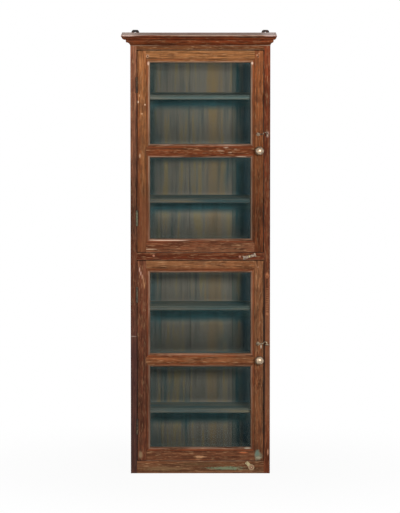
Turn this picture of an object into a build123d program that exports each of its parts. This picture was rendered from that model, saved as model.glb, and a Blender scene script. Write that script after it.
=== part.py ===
"""Tall wall-hung display cabinet: a joined teak carcass with two glazed doors, one above the other.

Units are millimetres. +Z is up, +X is to the viewer's right and the doors face -Y. The origin is the
middle of the flat base. Sizes come first, then one section for each sub-assembly, with a function for
each kind of piece, and build() at the end gives every piece its name.
"""
from build123d import *
from dataclasses import dataclass
from math import asin, cos, sin
import os

# ---- carcass ----
BODY_WIDTH = 395.0
BODY_DEPTH = 180.0
SIDE_THICKNESS = 17.5
OPENING_HEIGHT = 575.0  # of each door opening
BASE_RAIL_HEIGHT = 35.0
DIVIDER_HEIGHT = 20.0
FRIEZE_REVEAL = 11.0  # strip of frieze left showing under the cornice
RAIL_THICKNESS = 22.0
RAIL_TENON_THICKNESS = 8.0
RAIL_TENON_LENGTH = 8.0
TOP_THICKNESS = 20.0
BOTTOM_THICKNESS = 18.0
MIDDLE_THICKNESS = 18.0
BACK_THICKNESS = 9.0
BACK_REBATE = 9.0  # how far the back boards run into each side board
BACK_BOARD_WIDTHS = (75.0, 83.0, 122.0)  # the last board takes up the rest
BACK_LAP = 8.0
BACK_JOINT_GAP = 0.4

# ---- shelves ----
SHELVES_PER_OPENING = 3
SHELF_THICKNESS = 12.0
SHELF_SETBACK = 4.0  # from the inside face of a shut door
UPPER_SHELF_RISE = 4.5  # the upper shelves are housed a little above equal spacing
HOUSING_DEPTH = 5.0
HOUSING_CLEARANCE = 0.1
SHELF_NOSE_RADIUS = 1.5

# ---- cornice ----
CORNICE_HEIGHT = 30.0
CORNICE_FRONT = 22.0
CORNICE_LEFT = 26.0
CORNICE_RIGHT = 18.0
FILLET_HEIGHT = 4.0
OVOLO_HEIGHT = 8.5
FASCIA_HEIGHT = 7.5
OVOLO_WIDTH = 8.0
QUIRK = 1.5
FASCIA_LEAN = 1.0

# ---- doors ----
HINGE_GAP = 1.5
UPPER_LATCH_GAP = 2.0
LOWER_LATCH_GAP = 1.5
DOOR_SILL_GAP = 1.5
DOOR_HEAD_GAP = 2.5
DOOR_THICKNESS = 22.0
STILE_WIDTH = 36.0
TOP_RAIL = 34.0
MIDDLE_RAIL = 38.0
BOTTOM_RAIL = 38.0
STICKING = 11.0  # width of the moulding stuck on the inner edges
STICKING_QUIRK = 1.5
STICKING_RADIUS = 7.5
REBATE_WIDTH = 7.0
REBATE_FROM_FRONT = 11.0
DOOR_TENON_THICKNESS = 6.5
TENON_FROM_FRONT = 8.0
HAUNCH = 8.0
TENON_CLEARANCE = 0.1
GLASS_THICKNESS = 3.0
GLASS_CLEARANCE = 1.0
BEAD_WIDTH = 6.5
BEAD_SETBACK = 0.5  # from the back face of the door
BEAD_ROUNDING = 3.9

# ---- butt hinges ----
HINGE_LENGTH = 44.0
HINGE_INSET = 97.0  # hinge centre from the end of its door
KNUCKLES = 3
KNUCKLE_RADIUS = 3.4
KNUCKLE_END_GAP = 0.2
KNUCKLE_CLEARANCE = 0.4
HINGE_PROUD = 2.0
LEAF_WIDTH = 20.0
LEAF_THICKNESS = 1.6
LEAF_GAP = 0.5
PIN_RADIUS = 1.4
PIN_FIT = 0.05

# ---- knob ----
KNOB_RADIUS = 12.8
KNOB_INSET = 11.5  # from the latch edge of the door
KNOB_RISE = 3.0  # from the middle of the door opening
KNOB_PROJECTION = 31.0
KNOB_NECK_RADIUS = 4.5
KNOB_FOOT_RADIUS = 8.0
KNOB_FOOT_THICKNESS = 2.2
KNOB_SPIGOT_RADIUS = 2.5
KNOB_SPIGOT_LENGTH = 16.0

# ---- hooks and staples ----
HOOK_RISE = 49.5  # from the middle of the door opening
HOOK_REACH = 25.5  # pivot to the middle of the staple
HOOK_WIRE = 3.0
HOOK_OFFSET = 6.3  # middle of the wire in front of the door
HOOK_HUMP = 4.8
HOOK_BAR = 13.0  # pivot to the foot of the hump
HOOK_TIP_DROP = 5.8
HOOK_BEND = 3.0
HOOK_EYE_RADIUS = 5.1
HOOK_EYE_THICKNESS = 2.4
PIVOT_RADIUS = 2.0
PIVOT_FIT = 0.08
PIVOT_HEAD_RADIUS = 4.2
PIVOT_HEAD_HEIGHT = 2.2
PIVOT_COLLAR_RADIUS = 3.6
END_PLAY = 0.15  # on each side of a hook or button, along its screw
SCREW_SHANK_RADIUS = 1.7
SCREW_SHANK_LENGTH = 14.0
STAPLE_WIRE = 2.4  # side of its square section
STAPLE_OUTER_RADIUS = 5.4
STAPLE_DEPTH = 14.0  # in the wood
STAPLE_CLEARANCE = 0.3  # between the staple and the point of the resting hook

# ---- turn buttons ----
BUTTON_THICKNESS = 2.5
BUTTON_STANDOFF = 0.6
BUTTON_SCREW_RADIUS = 2.0
BUTTON_SCREW_HEAD = 3.6
BUTTON_SCREW_DOME = 1.6
BUTTON_FIT = 0.08
MIDDLE_BUTTON_INSET = 58.5  # from the latch side of the cabinet
MIDDLE_BUTTON_HALF_LENGTH = 18.5
MIDDLE_BUTTON_END_WIDTH = 12.0
MIDDLE_BUTTON_WAIST = 6.4
MIDDLE_BUTTON_BOSS = 4.6
MIDDLE_BUTTON_TILT = 15.0
BASE_BUTTON_INSET = 52.5
BASE_BUTTON_ROSE = 8.5
BASE_BUTTON_TAB_LENGTH = 21.0
BASE_BUTTON_TAB_WIDTH = 9.4
BASE_BUTTON_ANGLE = 135.0

# ---- wall hangers ----
HANGER_INSET = 11.5  # middle of the plate from the side of the cabinet
HANGER_WIDTH = 22.0
HANGER_THICKNESS = 2.5
HANGER_RISE = 7.3  # above the top board
HANGER_LENGTH = 80.0
HANGER_HOLE_RADIUS = 4.0
HANGER_HOLE_FROM_TOP = 10.5
HANGER_SHOULDER = 7.0
WALL_HOOK_SPACE = 10.0  # behind the top board, for the heads of the wall hooks

# ---- levels and planes that follow from the sizes above ----
HALF_WIDTH = BODY_WIDTH / 2
HALF_DEPTH = BODY_DEPTH / 2
INSIDE = HALF_WIDTH - SIDE_THICKNESS
FRONT = -HALF_DEPTH
DOOR_BACK = FRONT + DOOR_THICKNESS
RAIL_BACK = FRONT + RAIL_THICKNESS
BACK_FACE = HALF_DEPTH - BACK_THICKNESS
LOWER_SILL = BASE_RAIL_HEIGHT
LOWER_HEAD = LOWER_SILL + OPENING_HEIGHT
UPPER_SILL = LOWER_HEAD + DIVIDER_HEIGHT
UPPER_HEAD = UPPER_SILL + OPENING_HEIGHT
CORNICE_FOOT = UPPER_HEAD + FRIEZE_REVEAL
TOP = CORNICE_FOOT + CORNICE_HEIGHT
TOP_UNDERSIDE = TOP - TOP_THICKNESS
HINGE_X = -INSIDE + HINGE_GAP / 2
HINGE_Y = FRONT - HINGE_PROUD
STAPLE_X = INSIDE + SIDE_THICKNESS / 2
HANGER_X = HALF_WIDTH - HANGER_INSET


@dataclass(frozen=True)
class Door:
    """One glazed door: where it hangs and the panes between its rails."""

    sill: float  # bottom of the opening it hangs in
    latch_gap: float

    @property
    def left(self):
        return -INSIDE + HINGE_GAP

    @property
    def right(self):
        return INSIDE - self.latch_gap

    @property
    def bottom(self):
        return self.sill + DOOR_SILL_GAP

    @property
    def top(self):
        return self.sill + OPENING_HEIGHT - DOOR_HEAD_GAP

    @property
    def middle(self):
        """Mid-height of the opening."""
        return self.sill + OPENING_HEIGHT / 2

    @property
    def panes(self):
        """Sight sizes of the lower and the upper pane, each as (left, bottom, right, top)."""
        left = self.left + STILE_WIDTH
        right = self.right - STILE_WIDTH
        low = self.bottom + BOTTOM_RAIL
        high = self.top - TOP_RAIL
        pane_height = (high - low - MIDDLE_RAIL) / 2
        return (
            (left, low, right, low + pane_height),
            (left, high - pane_height, right, high),
        )

    @property
    def hinge_heights(self):
        return (self.bottom + HINGE_INSET, self.top - HINGE_INSET)


LOWER_DOOR = Door(LOWER_SILL, LOWER_LATCH_GAP)
UPPER_DOOR = Door(UPPER_SILL, UPPER_LATCH_GAP)
DOORS = {"lower": LOWER_DOOR, "upper": UPPER_DOOR}


# ---- helpers ----
def block(low, high):
    """A square-edged piece between two opposite corners."""
    size = [b - a for a, b in zip(low, high)]
    return Pos(*low) * Box(*size, align=(Align.MIN, Align.MIN, Align.MIN))


def prism(outline, y_low, y_high):
    """An outline of (x, z) points, carried along Y."""
    plane = Plane(origin=(0, y_low, 0), x_dir=(1, 0, 0), z_dir=(0, -1, 0))
    face = plane * make_face(Polyline(*outline, close=True))
    return extrude(face, amount=y_high - y_low, dir=(0, 1, 0))


def rod_y(x, z, y_low, y_high, radius):
    """A round bar along Y."""
    plane = Plane(origin=(x, y_low, z), x_dir=(1, 0, 0), z_dir=(0, 1, 0))
    return extrude(plane * Circle(radius), amount=y_high - y_low)


def rod_z(x, y, z_low, z_high, radius):
    """A round bar along Z."""
    return extrude(Pos(x, y, z_low) * Circle(radius), amount=z_high - z_low)


def dome(radius, base, height):
    """A spherical cap's outline in (radius, distance out), from its rim to its crown on the axis."""
    sphere = (radius**2 + height**2) / (2 * height)
    half_angle = asin(radius / sphere) / 2
    centre = base - height + sphere
    middle = (sphere * sin(half_angle), centre - sphere * cos(half_angle))
    return ThreePointArc((radius, base), middle, (0, base - height))


def turned_y(x, y, z, profile):
    """A turned piece on an axis along -Y; profile holds (radius, distance out) lines and arcs."""
    plane = Plane(origin=(x, y, z), x_dir=(1, 0, 0), z_dir=(0, 0, 1))
    face = plane * make_face(profile)
    return revolve(face, axis=Axis((x, y, z), (0, 1, 0)), revolution_arc=360)


# ---- carcass ----
def shelf_levels(sill, rise):
    """Undersides of one opening's shelves: equal bays, all moved up by a rise."""
    clear = OPENING_HEIGHT - SHELVES_PER_OPENING * SHELF_THICKNESS
    bay = clear / (SHELVES_PER_OPENING + 1)
    first = sill + rise + bay
    return [first + (bay + SHELF_THICKNESS) * i for i in range(SHELVES_PER_OPENING)]


SHELF_FRONT = DOOR_BACK + SHELF_SETBACK
SHELF_LEVELS = shelf_levels(LOWER_SILL, 0.0) + shelf_levels(UPPER_SILL, UPPER_SHELF_RISE)


def housed_board(front, low, thickness):
    """A board whose ends run into housings in the two side boards."""
    reach = INSIDE + HOUSING_DEPTH - HOUSING_CLEARANCE
    return block((-reach, front, low), (reach, BACK_FACE, low + thickness))


def housing(front, low, thickness):
    """The groove pair that takes a housed board."""
    reach = INSIDE + HOUSING_DEPTH
    return block(
        (-reach, front - HOUSING_CLEARANCE, low - HOUSING_CLEARANCE),
        (reach, BACK_FACE, low + thickness + HOUSING_CLEARANCE),
    )


def shelf(level):
    """One painted shelf with its front arrises eased."""
    board = housed_board(SHELF_FRONT, level, SHELF_THICKNESS)
    front_edges = board.edges().filter_by(Axis.X).group_by(Axis.Y)[0]
    return fillet(front_edges, SHELF_NOSE_RADIUS)


def face_rail(low, high):
    """A front rail between the side boards, with a stub tenon at each end."""
    rail = block((-INSIDE, FRONT, low), (INSIDE, RAIL_BACK, high))
    return rail + rail_tenons(low, high, 0.0)


def rail_tenons(low, high, clearance):
    """Stub tenons of a front rail as one bar, grown by a clearance when it cuts the mortises."""
    reach = INSIDE + RAIL_TENON_LENGTH - TENON_CLEARANCE + clearance
    middle = FRONT + RAIL_THICKNESS / 2
    half = RAIL_TENON_THICKNESS / 2 + clearance
    shoulder = (high - low) / 5
    return block(
        (-reach, middle - half, low + shoulder - clearance),
        (reach, middle + half, high - shoulder + clearance),
    )


RAIL_LEVELS = {
    "base_rail": (0.0, LOWER_SILL),
    "divider_rail": (LOWER_HEAD, UPPER_SILL),
    "frieze_rail": (UPPER_HEAD, TOP_UNDERSIDE),
}


def side_board(side):
    """A side board, side being -1 for the hinge side or 1 for the latch side."""
    xs = sorted((side * INSIDE, side * HALF_WIDTH))
    board = block((xs[0], FRONT, 0), (xs[1], HALF_DEPTH, TOP_UNDERSIDE))
    rebate = INSIDE + BACK_REBATE
    board -= block((-rebate, BACK_FACE, 0), (rebate, HALF_DEPTH, TOP_UNDERSIDE))
    for level in SHELF_LEVELS:
        board -= housing(SHELF_FRONT, level, SHELF_THICKNESS)
    board -= housing(RAIL_BACK, UPPER_SILL - MIDDLE_THICKNESS, MIDDLE_THICKNESS)
    board -= housing(RAIL_BACK, 0, BOTTOM_THICKNESS)
    for low, high in RAIL_LEVELS.values():
        board -= rail_tenons(low, high, TENON_CLEARANCE)
    if side < 0:
        for door in DOORS.values():
            for height in door.hinge_heights:
                board -= hinge_recess(height, -1)
    else:
        for door in DOORS.values():
            board -= staple(door)
    return board


def top_board():
    """The top board, kept short at the back so that the wall hooks clear it behind the hangers."""
    return block(
        (-HALF_WIDTH, FRONT, TOP_UNDERSIDE),
        (HALF_WIDTH, HALF_DEPTH - WALL_HOOK_SPACE, TOP),
    )


def back_board(index):
    """One vertical back board, half-lapped with its neighbours."""
    edge = INSIDE + BACK_REBATE
    joints = [-edge]
    for width in BACK_BOARD_WIDTHS:
        joints.append(joints[-1] + width)
    joints.append(edge)
    left, right = joints[index], joints[index + 1]
    last = len(joints) - 2
    middle = (BACK_FACE + HALF_DEPTH) / 2
    inner_left = left if index == 0 else left + BACK_JOINT_GAP / 2
    inner_right = right if index == last else right - BACK_JOINT_GAP / 2
    outer_left = left if index == 0 else left + BACK_LAP + BACK_JOINT_GAP / 2
    outer_right = right if index == last else right + BACK_LAP - BACK_JOINT_GAP / 2
    inner = block((inner_left, BACK_FACE, 0), (inner_right, middle, TOP_UNDERSIDE))
    outer = block((outer_left, middle, 0), (outer_right, HALF_DEPTH, TOP_UNDERSIDE))
    return inner + outer


# ---- cornice ----
def quarter_arc(start, end, bend):
    """A round sweep as near to a quarter turn as its ends allow, bend being the sign of its curve."""
    width, height = end[0] - start[0], end[1] - start[1]
    radius = (width**2 + height**2) / (2 * min(width, height))
    return RadiusArc(start, end, bend * radius)


def cornice_section(projection):
    """Section of the cornice as (outward, up): cove, fascia, ovolo and top fillet, from the foot up."""
    stretch = projection / CORNICE_FRONT
    cove_height = CORNICE_HEIGHT - FASCIA_HEIGHT - OVOLO_HEIGHT - FILLET_HEIGHT
    fascia_top = cove_height + FASCIA_HEIGHT
    ovolo_top = fascia_top + OVOLO_HEIGHT
    ovolo_end = projection - QUIRK * stretch
    ovolo_start = ovolo_end - OVOLO_WIDTH * stretch
    fascia = ovolo_start - QUIRK * stretch
    cove_end = fascia - FASCIA_LEAN * stretch
    cove = quarter_arc((0, 0), (cove_end, cove_height), 1)
    fascia_line = Polyline((cove_end, cove_height), (fascia, fascia_top), (ovolo_start, fascia_top))
    ovolo = quarter_arc((ovolo_start, fascia_top), (ovolo_end, ovolo_top), -1)
    crown = Polyline(
        (ovolo_end, ovolo_top),
        (projection, ovolo_top),
        (projection, CORNICE_HEIGHT),
        (0, CORNICE_HEIGHT),
        (0, 0),
    )
    return make_face(cove + fascia_line + ovolo + crown)


def cornice_piece(projection, origin, outward, along, plan):
    """One length of cornice, cut to its mitred plan."""
    plane = Plane(origin=origin, x_dir=outward, z_dir=along)
    length = BODY_WIDTH + BODY_DEPTH
    run = extrude(plane * cornice_section(projection), amount=length, both=True)
    footprint = Pos(0, 0, CORNICE_FOOT) * make_face(Polyline(*plan, close=True))
    return run & extrude(footprint, amount=CORNICE_HEIGHT)


FRONT_CORNERS = {
    "left": (-HALF_WIDTH - CORNICE_LEFT, FRONT - CORNICE_FRONT),
    "right": (HALF_WIDTH + CORNICE_RIGHT, FRONT - CORNICE_FRONT),
}


def cornice_front():
    plan = [(-HALF_WIDTH, FRONT), (HALF_WIDTH, FRONT), FRONT_CORNERS["right"], FRONT_CORNERS["left"]]
    return cornice_piece(CORNICE_FRONT, (0, FRONT, CORNICE_FOOT), (0, -1, 0), (-1, 0, 0), plan)


def cornice_left():
    outer = -HALF_WIDTH - CORNICE_LEFT
    plan = [(-HALF_WIDTH, FRONT), (-HALF_WIDTH, HALF_DEPTH), (outer, HALF_DEPTH), FRONT_CORNERS["left"]]
    return cornice_piece(CORNICE_LEFT, (-HALF_WIDTH, 0, CORNICE_FOOT), (-1, 0, 0), (0, 1, 0), plan)


def cornice_right():
    outer = HALF_WIDTH + CORNICE_RIGHT
    plan = [(HALF_WIDTH, FRONT), (HALF_WIDTH, HALF_DEPTH), (outer, HALF_DEPTH), FRONT_CORNERS["right"]]
    return cornice_piece(CORNICE_RIGHT, (HALF_WIDTH, 0, CORNICE_FOOT), (1, 0, 0), (0, -1, 0), plan)


# ---- door joinery ----
def grown(pane, margin):
    """A pane rectangle with every side moved out by a margin, as (left, bottom, right, top)."""
    left, bottom, right, top = pane
    return (left - margin, bottom - margin, right + margin, top + margin)


def slab(rectangle, y_low, y_high):
    """A rectangle of the door's face carried through part of its thickness."""
    left, bottom, right, top = rectangle
    return block((left, y_low, bottom), (right, y_high, top))


def moulded_frame(door):
    """The four-square door frame before it is split: ovolo outside and glazing rebate inside."""
    quirk_face = FRONT + STICKING_QUIRK
    frame = block((door.left, FRONT, door.bottom), (door.right, DOOR_BACK, door.top))
    for pane in door.panes:
        frame -= slab(pane, FRONT, DOOR_BACK)
        frame -= slab(grown(pane, STICKING), FRONT, quirk_face)
        frame -= slab(grown(pane, REBATE_WIDTH), FRONT + REBATE_FROM_FRONT, DOOR_BACK)
    sight_edges = []
    for left, bottom, right, top in door.panes:
        for edge in frame.edges().filter_by_position(Axis.Y, quirk_face, quirk_face):
            middle = edge.center()
            if left <= middle.X <= right and bottom <= middle.Z <= top:
                sight_edges.append(edge)
    return fillet(sight_edges, STICKING_RADIUS)


def rail_outline(door, index):
    """Outline of a rail, mitred through the moulding: index 0 is the bottom rail and 2 the top one."""
    lower, upper = door.panes
    pane_below = (None, lower, upper)[index]
    pane_above = (lower, upper, None)[index]
    left, _, right, _ = lower
    outer_left, outer_right = left - STICKING, right + STICKING
    if pane_below:
        sight = pane_below[3]
        flat = sight + STICKING
        under = [(outer_left, flat), (left, sight), (right, sight), (outer_right, flat)]
    else:
        under = [(outer_left, door.bottom), (outer_right, door.bottom)]
    if pane_above:
        sight = pane_above[1]
        flat = sight - STICKING
        over = [(outer_right, flat), (right, sight), (left, sight), (outer_left, flat)]
    else:
        over = [(outer_right, door.top), (outer_left, door.top)]
    return under + over


def rail_flats(door, index):
    """Lowest and highest level of a rail's tenons: the flat between its mouldings, less any haunch."""
    lower, upper = door.panes
    lows = (door.bottom + HAUNCH, lower[3] + STICKING, upper[3] + STICKING)
    highs = (lower[1] - STICKING, upper[1] - STICKING, door.top - HAUNCH)
    return lows[index], highs[index]


def door_tenons(door, index, clearance):
    """The through tenons of one rail as a bar, grown by a clearance when it cuts the mortises."""
    low, high = rail_flats(door, index)
    near = FRONT + TENON_FROM_FRONT
    return block(
        (door.left, near - clearance, low - clearance),
        (door.right, near + DOOR_TENON_THICKNESS + clearance, high + clearance),
    )


def door_rail(door, frame, index):
    """A rail with its mitred moulding and a through tenon at each end."""
    body = frame & prism(rail_outline(door, index), FRONT, DOOR_BACK)
    left, _, right, _ = door.panes[0]
    tenons = door_tenons(door, index, 0.0)
    tenons -= block((left - STICKING, FRONT, door.bottom), (right + STICKING, DOOR_BACK, door.top))
    return body + tenons - knob_bore(door)


def door_stile(door, frame, side):
    """A stile, side being -1 for the hinge stile or 1 for the latch stile, mortised for three rails."""
    middle = (door.left + door.right) / 2
    xs = sorted((middle, door.left if side < 0 else door.right))
    stile = frame & block((xs[0], FRONT, door.bottom), (xs[1], DOOR_BACK, door.top))
    for index in range(3):
        stile -= prism(rail_outline(door, index), FRONT, DOOR_BACK)
        stile -= door_tenons(door, index, TENON_CLEARANCE)
    if side < 0:
        for height in door.hinge_heights:
            stile -= hinge_recess(height, 1)
    else:
        stile -= knob_bore(door)
        stile -= rod_y(*pivot_place(door), FRONT, FRONT + SCREW_SHANK_LENGTH, SCREW_SHANK_RADIUS)
    return stile


def glass(pane):
    """One pane of glass, loose in its rebate by a small clearance."""
    front = FRONT + REBATE_FROM_FRONT
    return slab(grown(pane, REBATE_WIDTH - GLASS_CLEARANCE), front, front + GLASS_THICKNESS)


def glazing_beads(door):
    """Quadrant beads that hold both panes from inside, mitred at the corners."""
    near = FRONT + REBATE_FROM_FRONT + GLASS_THICKNESS
    far = DOOR_BACK - BEAD_SETBACK
    rounding = min(BEAD_ROUNDING, 0.8 * (far - near))
    beads = []
    for pane in door.panes:
        outer = grown(pane, REBATE_WIDTH)
        inner = grown(pane, REBATE_WIDTH - BEAD_WIDTH)
        left, bottom, right, top = outer
        in_left, in_bottom, in_right, in_top = inner
        outlines = (
            [(left, bottom), (right, bottom), (in_right, in_bottom), (in_left, in_bottom)],
            [(right, bottom), (right, top), (in_right, in_top), (in_right, in_bottom)],
            [(right, top), (left, top), (in_left, in_top), (in_right, in_top)],
            [(left, top), (left, bottom), (in_left, in_bottom), (in_left, in_top)],
        )
        ring = slab(outer, near, far) - slab(inner, near, far)
        arrises = []
        for edge in ring.edges().filter_by_position(Axis.Y, far, far):
            middle = edge.center()
            if in_left <= middle.X <= in_right and in_bottom <= middle.Z <= in_top:
                arrises.append(edge)
        ring = fillet(arrises, rounding)
        beads += [ring & prism(outline, near, far) for outline in outlines]
    return Compound(children=[bead.solid() for bead in beads])


# ---- butt hinges ----
def knuckle_spans(height):
    """Lower and upper end of each knuckle of a hinge centred at a height."""
    pitch = HINGE_LENGTH / KNUCKLES
    foot = height - HINGE_LENGTH / 2
    half_gap = KNUCKLE_END_GAP / 2
    return [(foot + pitch * i + half_gap, foot + pitch * (i + 1) - half_gap) for i in range(KNUCKLES)]


def hinge_leaf(height, side):
    """A leaf with its knuckles, side being -1 for the leaf on the carcass or 1 for the one on the door."""
    inner_x = HINGE_X + side * LEAF_GAP / 2
    near_x, far_x = sorted((inner_x, inner_x + side * LEAF_THICKNESS))
    half = HINGE_LENGTH / 2
    plate_front = HINGE_Y + KNUCKLE_RADIUS + KNUCKLE_CLEARANCE
    leaf = block((near_x, plate_front, height - half), (far_x, HINGE_Y + LEAF_WIDTH, height + half))
    own = slice(0, None, 2) if side < 0 else slice(1, None, 2)
    for low, high in knuckle_spans(height)[own]:
        leaf += block((near_x, HINGE_Y, low), (far_x, plate_front, high))
        leaf += rod_z(HINGE_X, HINGE_Y, low, high, KNUCKLE_RADIUS)
    return leaf - rod_z(HINGE_X, HINGE_Y, height - half, height + half, PIN_RADIUS + PIN_FIT)


def hinge_recess(height, side):
    """What is cut from the wood for a leaf and for the knuckles, on the carcass or the door side."""
    near_x, far_x = sorted((HINGE_X, HINGE_X + side * (LEAF_GAP / 2 + LEAF_THICKNESS)))
    half = HINGE_LENGTH / 2
    bed = block((near_x, FRONT, height - half), (far_x, HINGE_Y + LEAF_WIDTH, height + half))
    end = half + KNUCKLE_END_GAP
    return bed + rod_z(HINGE_X, HINGE_Y, height - end, height + end, KNUCKLE_RADIUS + KNUCKLE_CLEARANCE)


def hinge_pins():
    """All four hinge pins, each as long as its hinge."""
    pins = []
    for door in DOORS.values():
        for height in door.hinge_heights:
            low, high = height - HINGE_LENGTH / 2, height + HINGE_LENGTH / 2
            pins.append(rod_z(HINGE_X, HINGE_Y, low, high, PIN_RADIUS).solid())
    return Compound(children=pins)


# ---- knobs ----
def knob_place(door):
    return door.right - KNOB_INSET, door.middle + KNOB_RISE


def knob_bore(door):
    """The hole for the knob's spigot, which passes through the stile and the tenon inside it."""
    return rod_y(*knob_place(door), FRONT, FRONT + KNOB_SPIGOT_LENGTH, KNOB_SPIGOT_RADIUS)


def knob(door):
    """A turned brass ball knob: foot, neck and ball in one, with a spigot into the stile."""
    x, z = knob_place(door)
    ball_centre = -(KNOB_PROJECTION - KNOB_RADIUS)
    neck_meet = ball_centre + (KNOB_RADIUS**2 - KNOB_NECK_RADIUS**2) ** 0.5
    foot = -KNOB_FOOT_THICKNESS
    profile = (
        Polyline(
            (0, KNOB_SPIGOT_LENGTH),
            (KNOB_SPIGOT_RADIUS, KNOB_SPIGOT_LENGTH),
            (KNOB_SPIGOT_RADIUS, 0),
            (KNOB_FOOT_RADIUS, 0),
            (KNOB_FOOT_RADIUS, foot / 2),
        )
        + ThreePointArc(
            (KNOB_FOOT_RADIUS, foot / 2),
            ((KNOB_FOOT_RADIUS + KNOB_NECK_RADIUS) / 2 - KNOB_FOOT_THICKNESS / 4, foot * 1.2),
            (KNOB_NECK_RADIUS, foot * 1.8),
        )
        + Line((KNOB_NECK_RADIUS, foot * 1.8), (KNOB_NECK_RADIUS, neck_meet))
        + ThreePointArc(
            (KNOB_NECK_RADIUS, neck_meet), (KNOB_RADIUS, ball_centre), (0, -KNOB_PROJECTION)
        )
        + Line((0, -KNOB_PROJECTION), (0, KNOB_SPIGOT_LENGTH))
    )
    return turned_y(x, FRONT, z, profile)


# ---- hooks and staples ----
HOOK_Y = FRONT - HOOK_OFFSET
TIP_END = HOOK_HUMP - HOOK_TIP_DROP  # level of the point of the resting hook, from its pivot


def pivot_place(door):
    return STAPLE_X - HOOK_REACH, door.middle + HOOK_RISE


def staple_height(door):
    _, pivot_height = pivot_place(door)
    return pivot_height + TIP_END - STAPLE_CLEARANCE - STAPLE_WIRE / 2


def hook(door):
    """A hook: flattened eye on its pivot screw, straight bar, hump over the gap, point turned down."""
    x, z = pivot_place(door)
    bar_start = HOOK_EYE_RADIUS - HOOK_EYE_THICKNESS / 4
    route = FilletPolyline(
        (bar_start, 0),
        (HOOK_BAR, 0),
        (HOOK_BAR + HOOK_HUMP, HOOK_HUMP),
        (HOOK_REACH, HOOK_HUMP),
        (HOOK_REACH, TIP_END),
        radius=HOOK_BEND,
    )
    plane = Plane(origin=(x, HOOK_Y, z), x_dir=(1, 0, 0), z_dir=(0, -1, 0))
    section = Plane(origin=(x + bar_start, HOOK_Y, z), x_dir=(0, 1, 0), z_dir=(1, 0, 0))
    bar = sweep(section * Circle(HOOK_WIRE / 2), path=plane * route)
    half = HOOK_EYE_THICKNESS / 2
    eye = rod_y(x, z, HOOK_Y - half, HOOK_Y + half, HOOK_EYE_RADIUS)
    eye -= rod_y(x, z, HOOK_Y - half, HOOK_Y + half, PIVOT_RADIUS + PIVOT_FIT)
    return eye + bar


def hook_pivot(door):
    """The shouldered screw a hook turns on: shank, collar, journal and domed head."""
    x, z = pivot_place(door)
    collar = -(HOOK_OFFSET - HOOK_EYE_THICKNESS / 2 - END_PLAY)
    journal = -(HOOK_OFFSET + HOOK_EYE_THICKNESS / 2 + END_PLAY)
    crown = journal - PIVOT_HEAD_HEIGHT
    profile = (
        Polyline(
            (0, SCREW_SHANK_LENGTH),
            (SCREW_SHANK_RADIUS, SCREW_SHANK_LENGTH),
            (SCREW_SHANK_RADIUS, 0),
            (PIVOT_COLLAR_RADIUS, 0),
            (PIVOT_COLLAR_RADIUS, collar),
            (PIVOT_RADIUS, collar),
            (PIVOT_RADIUS, journal),
            (PIVOT_HEAD_RADIUS, journal),
        )
        + dome(PIVOT_HEAD_RADIUS, journal, PIVOT_HEAD_HEIGHT)
        + Line((0, crown), (0, SCREW_SHANK_LENGTH))
    )
    return turned_y(x, FRONT, z, profile)


def staple(door):
    """A forged staple with its bend level, so that the point of the hook drops through it."""
    legs = FRONT + STAPLE_DEPTH - HOOK_Y
    outline = tongue(STAPLE_OUTER_RADIUS, legs) - tongue(STAPLE_OUTER_RADIUS - STAPLE_WIRE, legs)
    foot = staple_height(door) - STAPLE_WIRE / 2
    return extrude(Pos(STAPLE_X, HOOK_Y, foot) * outline, amount=STAPLE_WIRE)


def tongue(radius, length):
    """A strip of twice the radius across, with one end half round about the origin."""
    return Circle(radius) + Pos(0, length / 2) * Rectangle(2 * radius, length)


# ---- turn buttons ----
BUTTON_BACK = FRONT - BUTTON_STANDOFF
BUTTON_FRONT = BUTTON_BACK - BUTTON_THICKNESS
MIDDLE_BUTTON_PLACE = (HALF_WIDTH - MIDDLE_BUTTON_INSET, (LOWER_HEAD + UPPER_SILL) / 2)
BASE_BUTTON_PLACE = (HALF_WIDTH - BASE_BUTTON_INSET, BASE_RAIL_HEIGHT / 2)
BUTTON_PLACES = (MIDDLE_BUTTON_PLACE, BASE_BUTTON_PLACE)


def button_plate(outline, place, angle):
    """A flat button cut to an outline, turned to its angle and drilled for its screw."""
    x, z = place
    plane = Plane(origin=(x, BUTTON_BACK, z), x_dir=(1, 0, 0), z_dir=(0, -1, 0))
    plate = extrude(plane * Rot(0, 0, angle) * outline, amount=BUTTON_THICKNESS)
    return plate - rod_y(x, z, BUTTON_FRONT, BUTTON_BACK, BUTTON_SCREW_RADIUS + BUTTON_FIT)


def middle_button():
    """The double-ended button on the divider: waisted arms that flare to square ends."""
    length = MIDDLE_BUTTON_HALF_LENGTH
    end = MIDDLE_BUTTON_END_WIDTH / 2
    waist = MIDDLE_BUTTON_WAIST / 2
    upper_edge = ThreePointArc((-length, end), (0, waist), (length, end))
    lower_edge = ThreePointArc((length, -end), (0, -waist), (-length, -end))
    right_end = Line((length, end), (length, -end))
    left_end = Line((-length, -end), (-length, end))
    outline = make_face(upper_edge + right_end + lower_edge + left_end)
    outline += Circle(MIDDLE_BUTTON_BOSS)
    return button_plate(outline, MIDDLE_BUTTON_PLACE, MIDDLE_BUTTON_TILT)


def base_button():
    """The button under the lower door: a round rose with one square tab."""
    tab = Pos(BASE_BUTTON_TAB_LENGTH / 2, 0) * Rectangle(BASE_BUTTON_TAB_LENGTH, BASE_BUTTON_TAB_WIDTH)
    outline = Circle(BASE_BUTTON_ROSE) + tab
    return button_plate(outline, BASE_BUTTON_PLACE, BASE_BUTTON_ANGLE)


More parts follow.
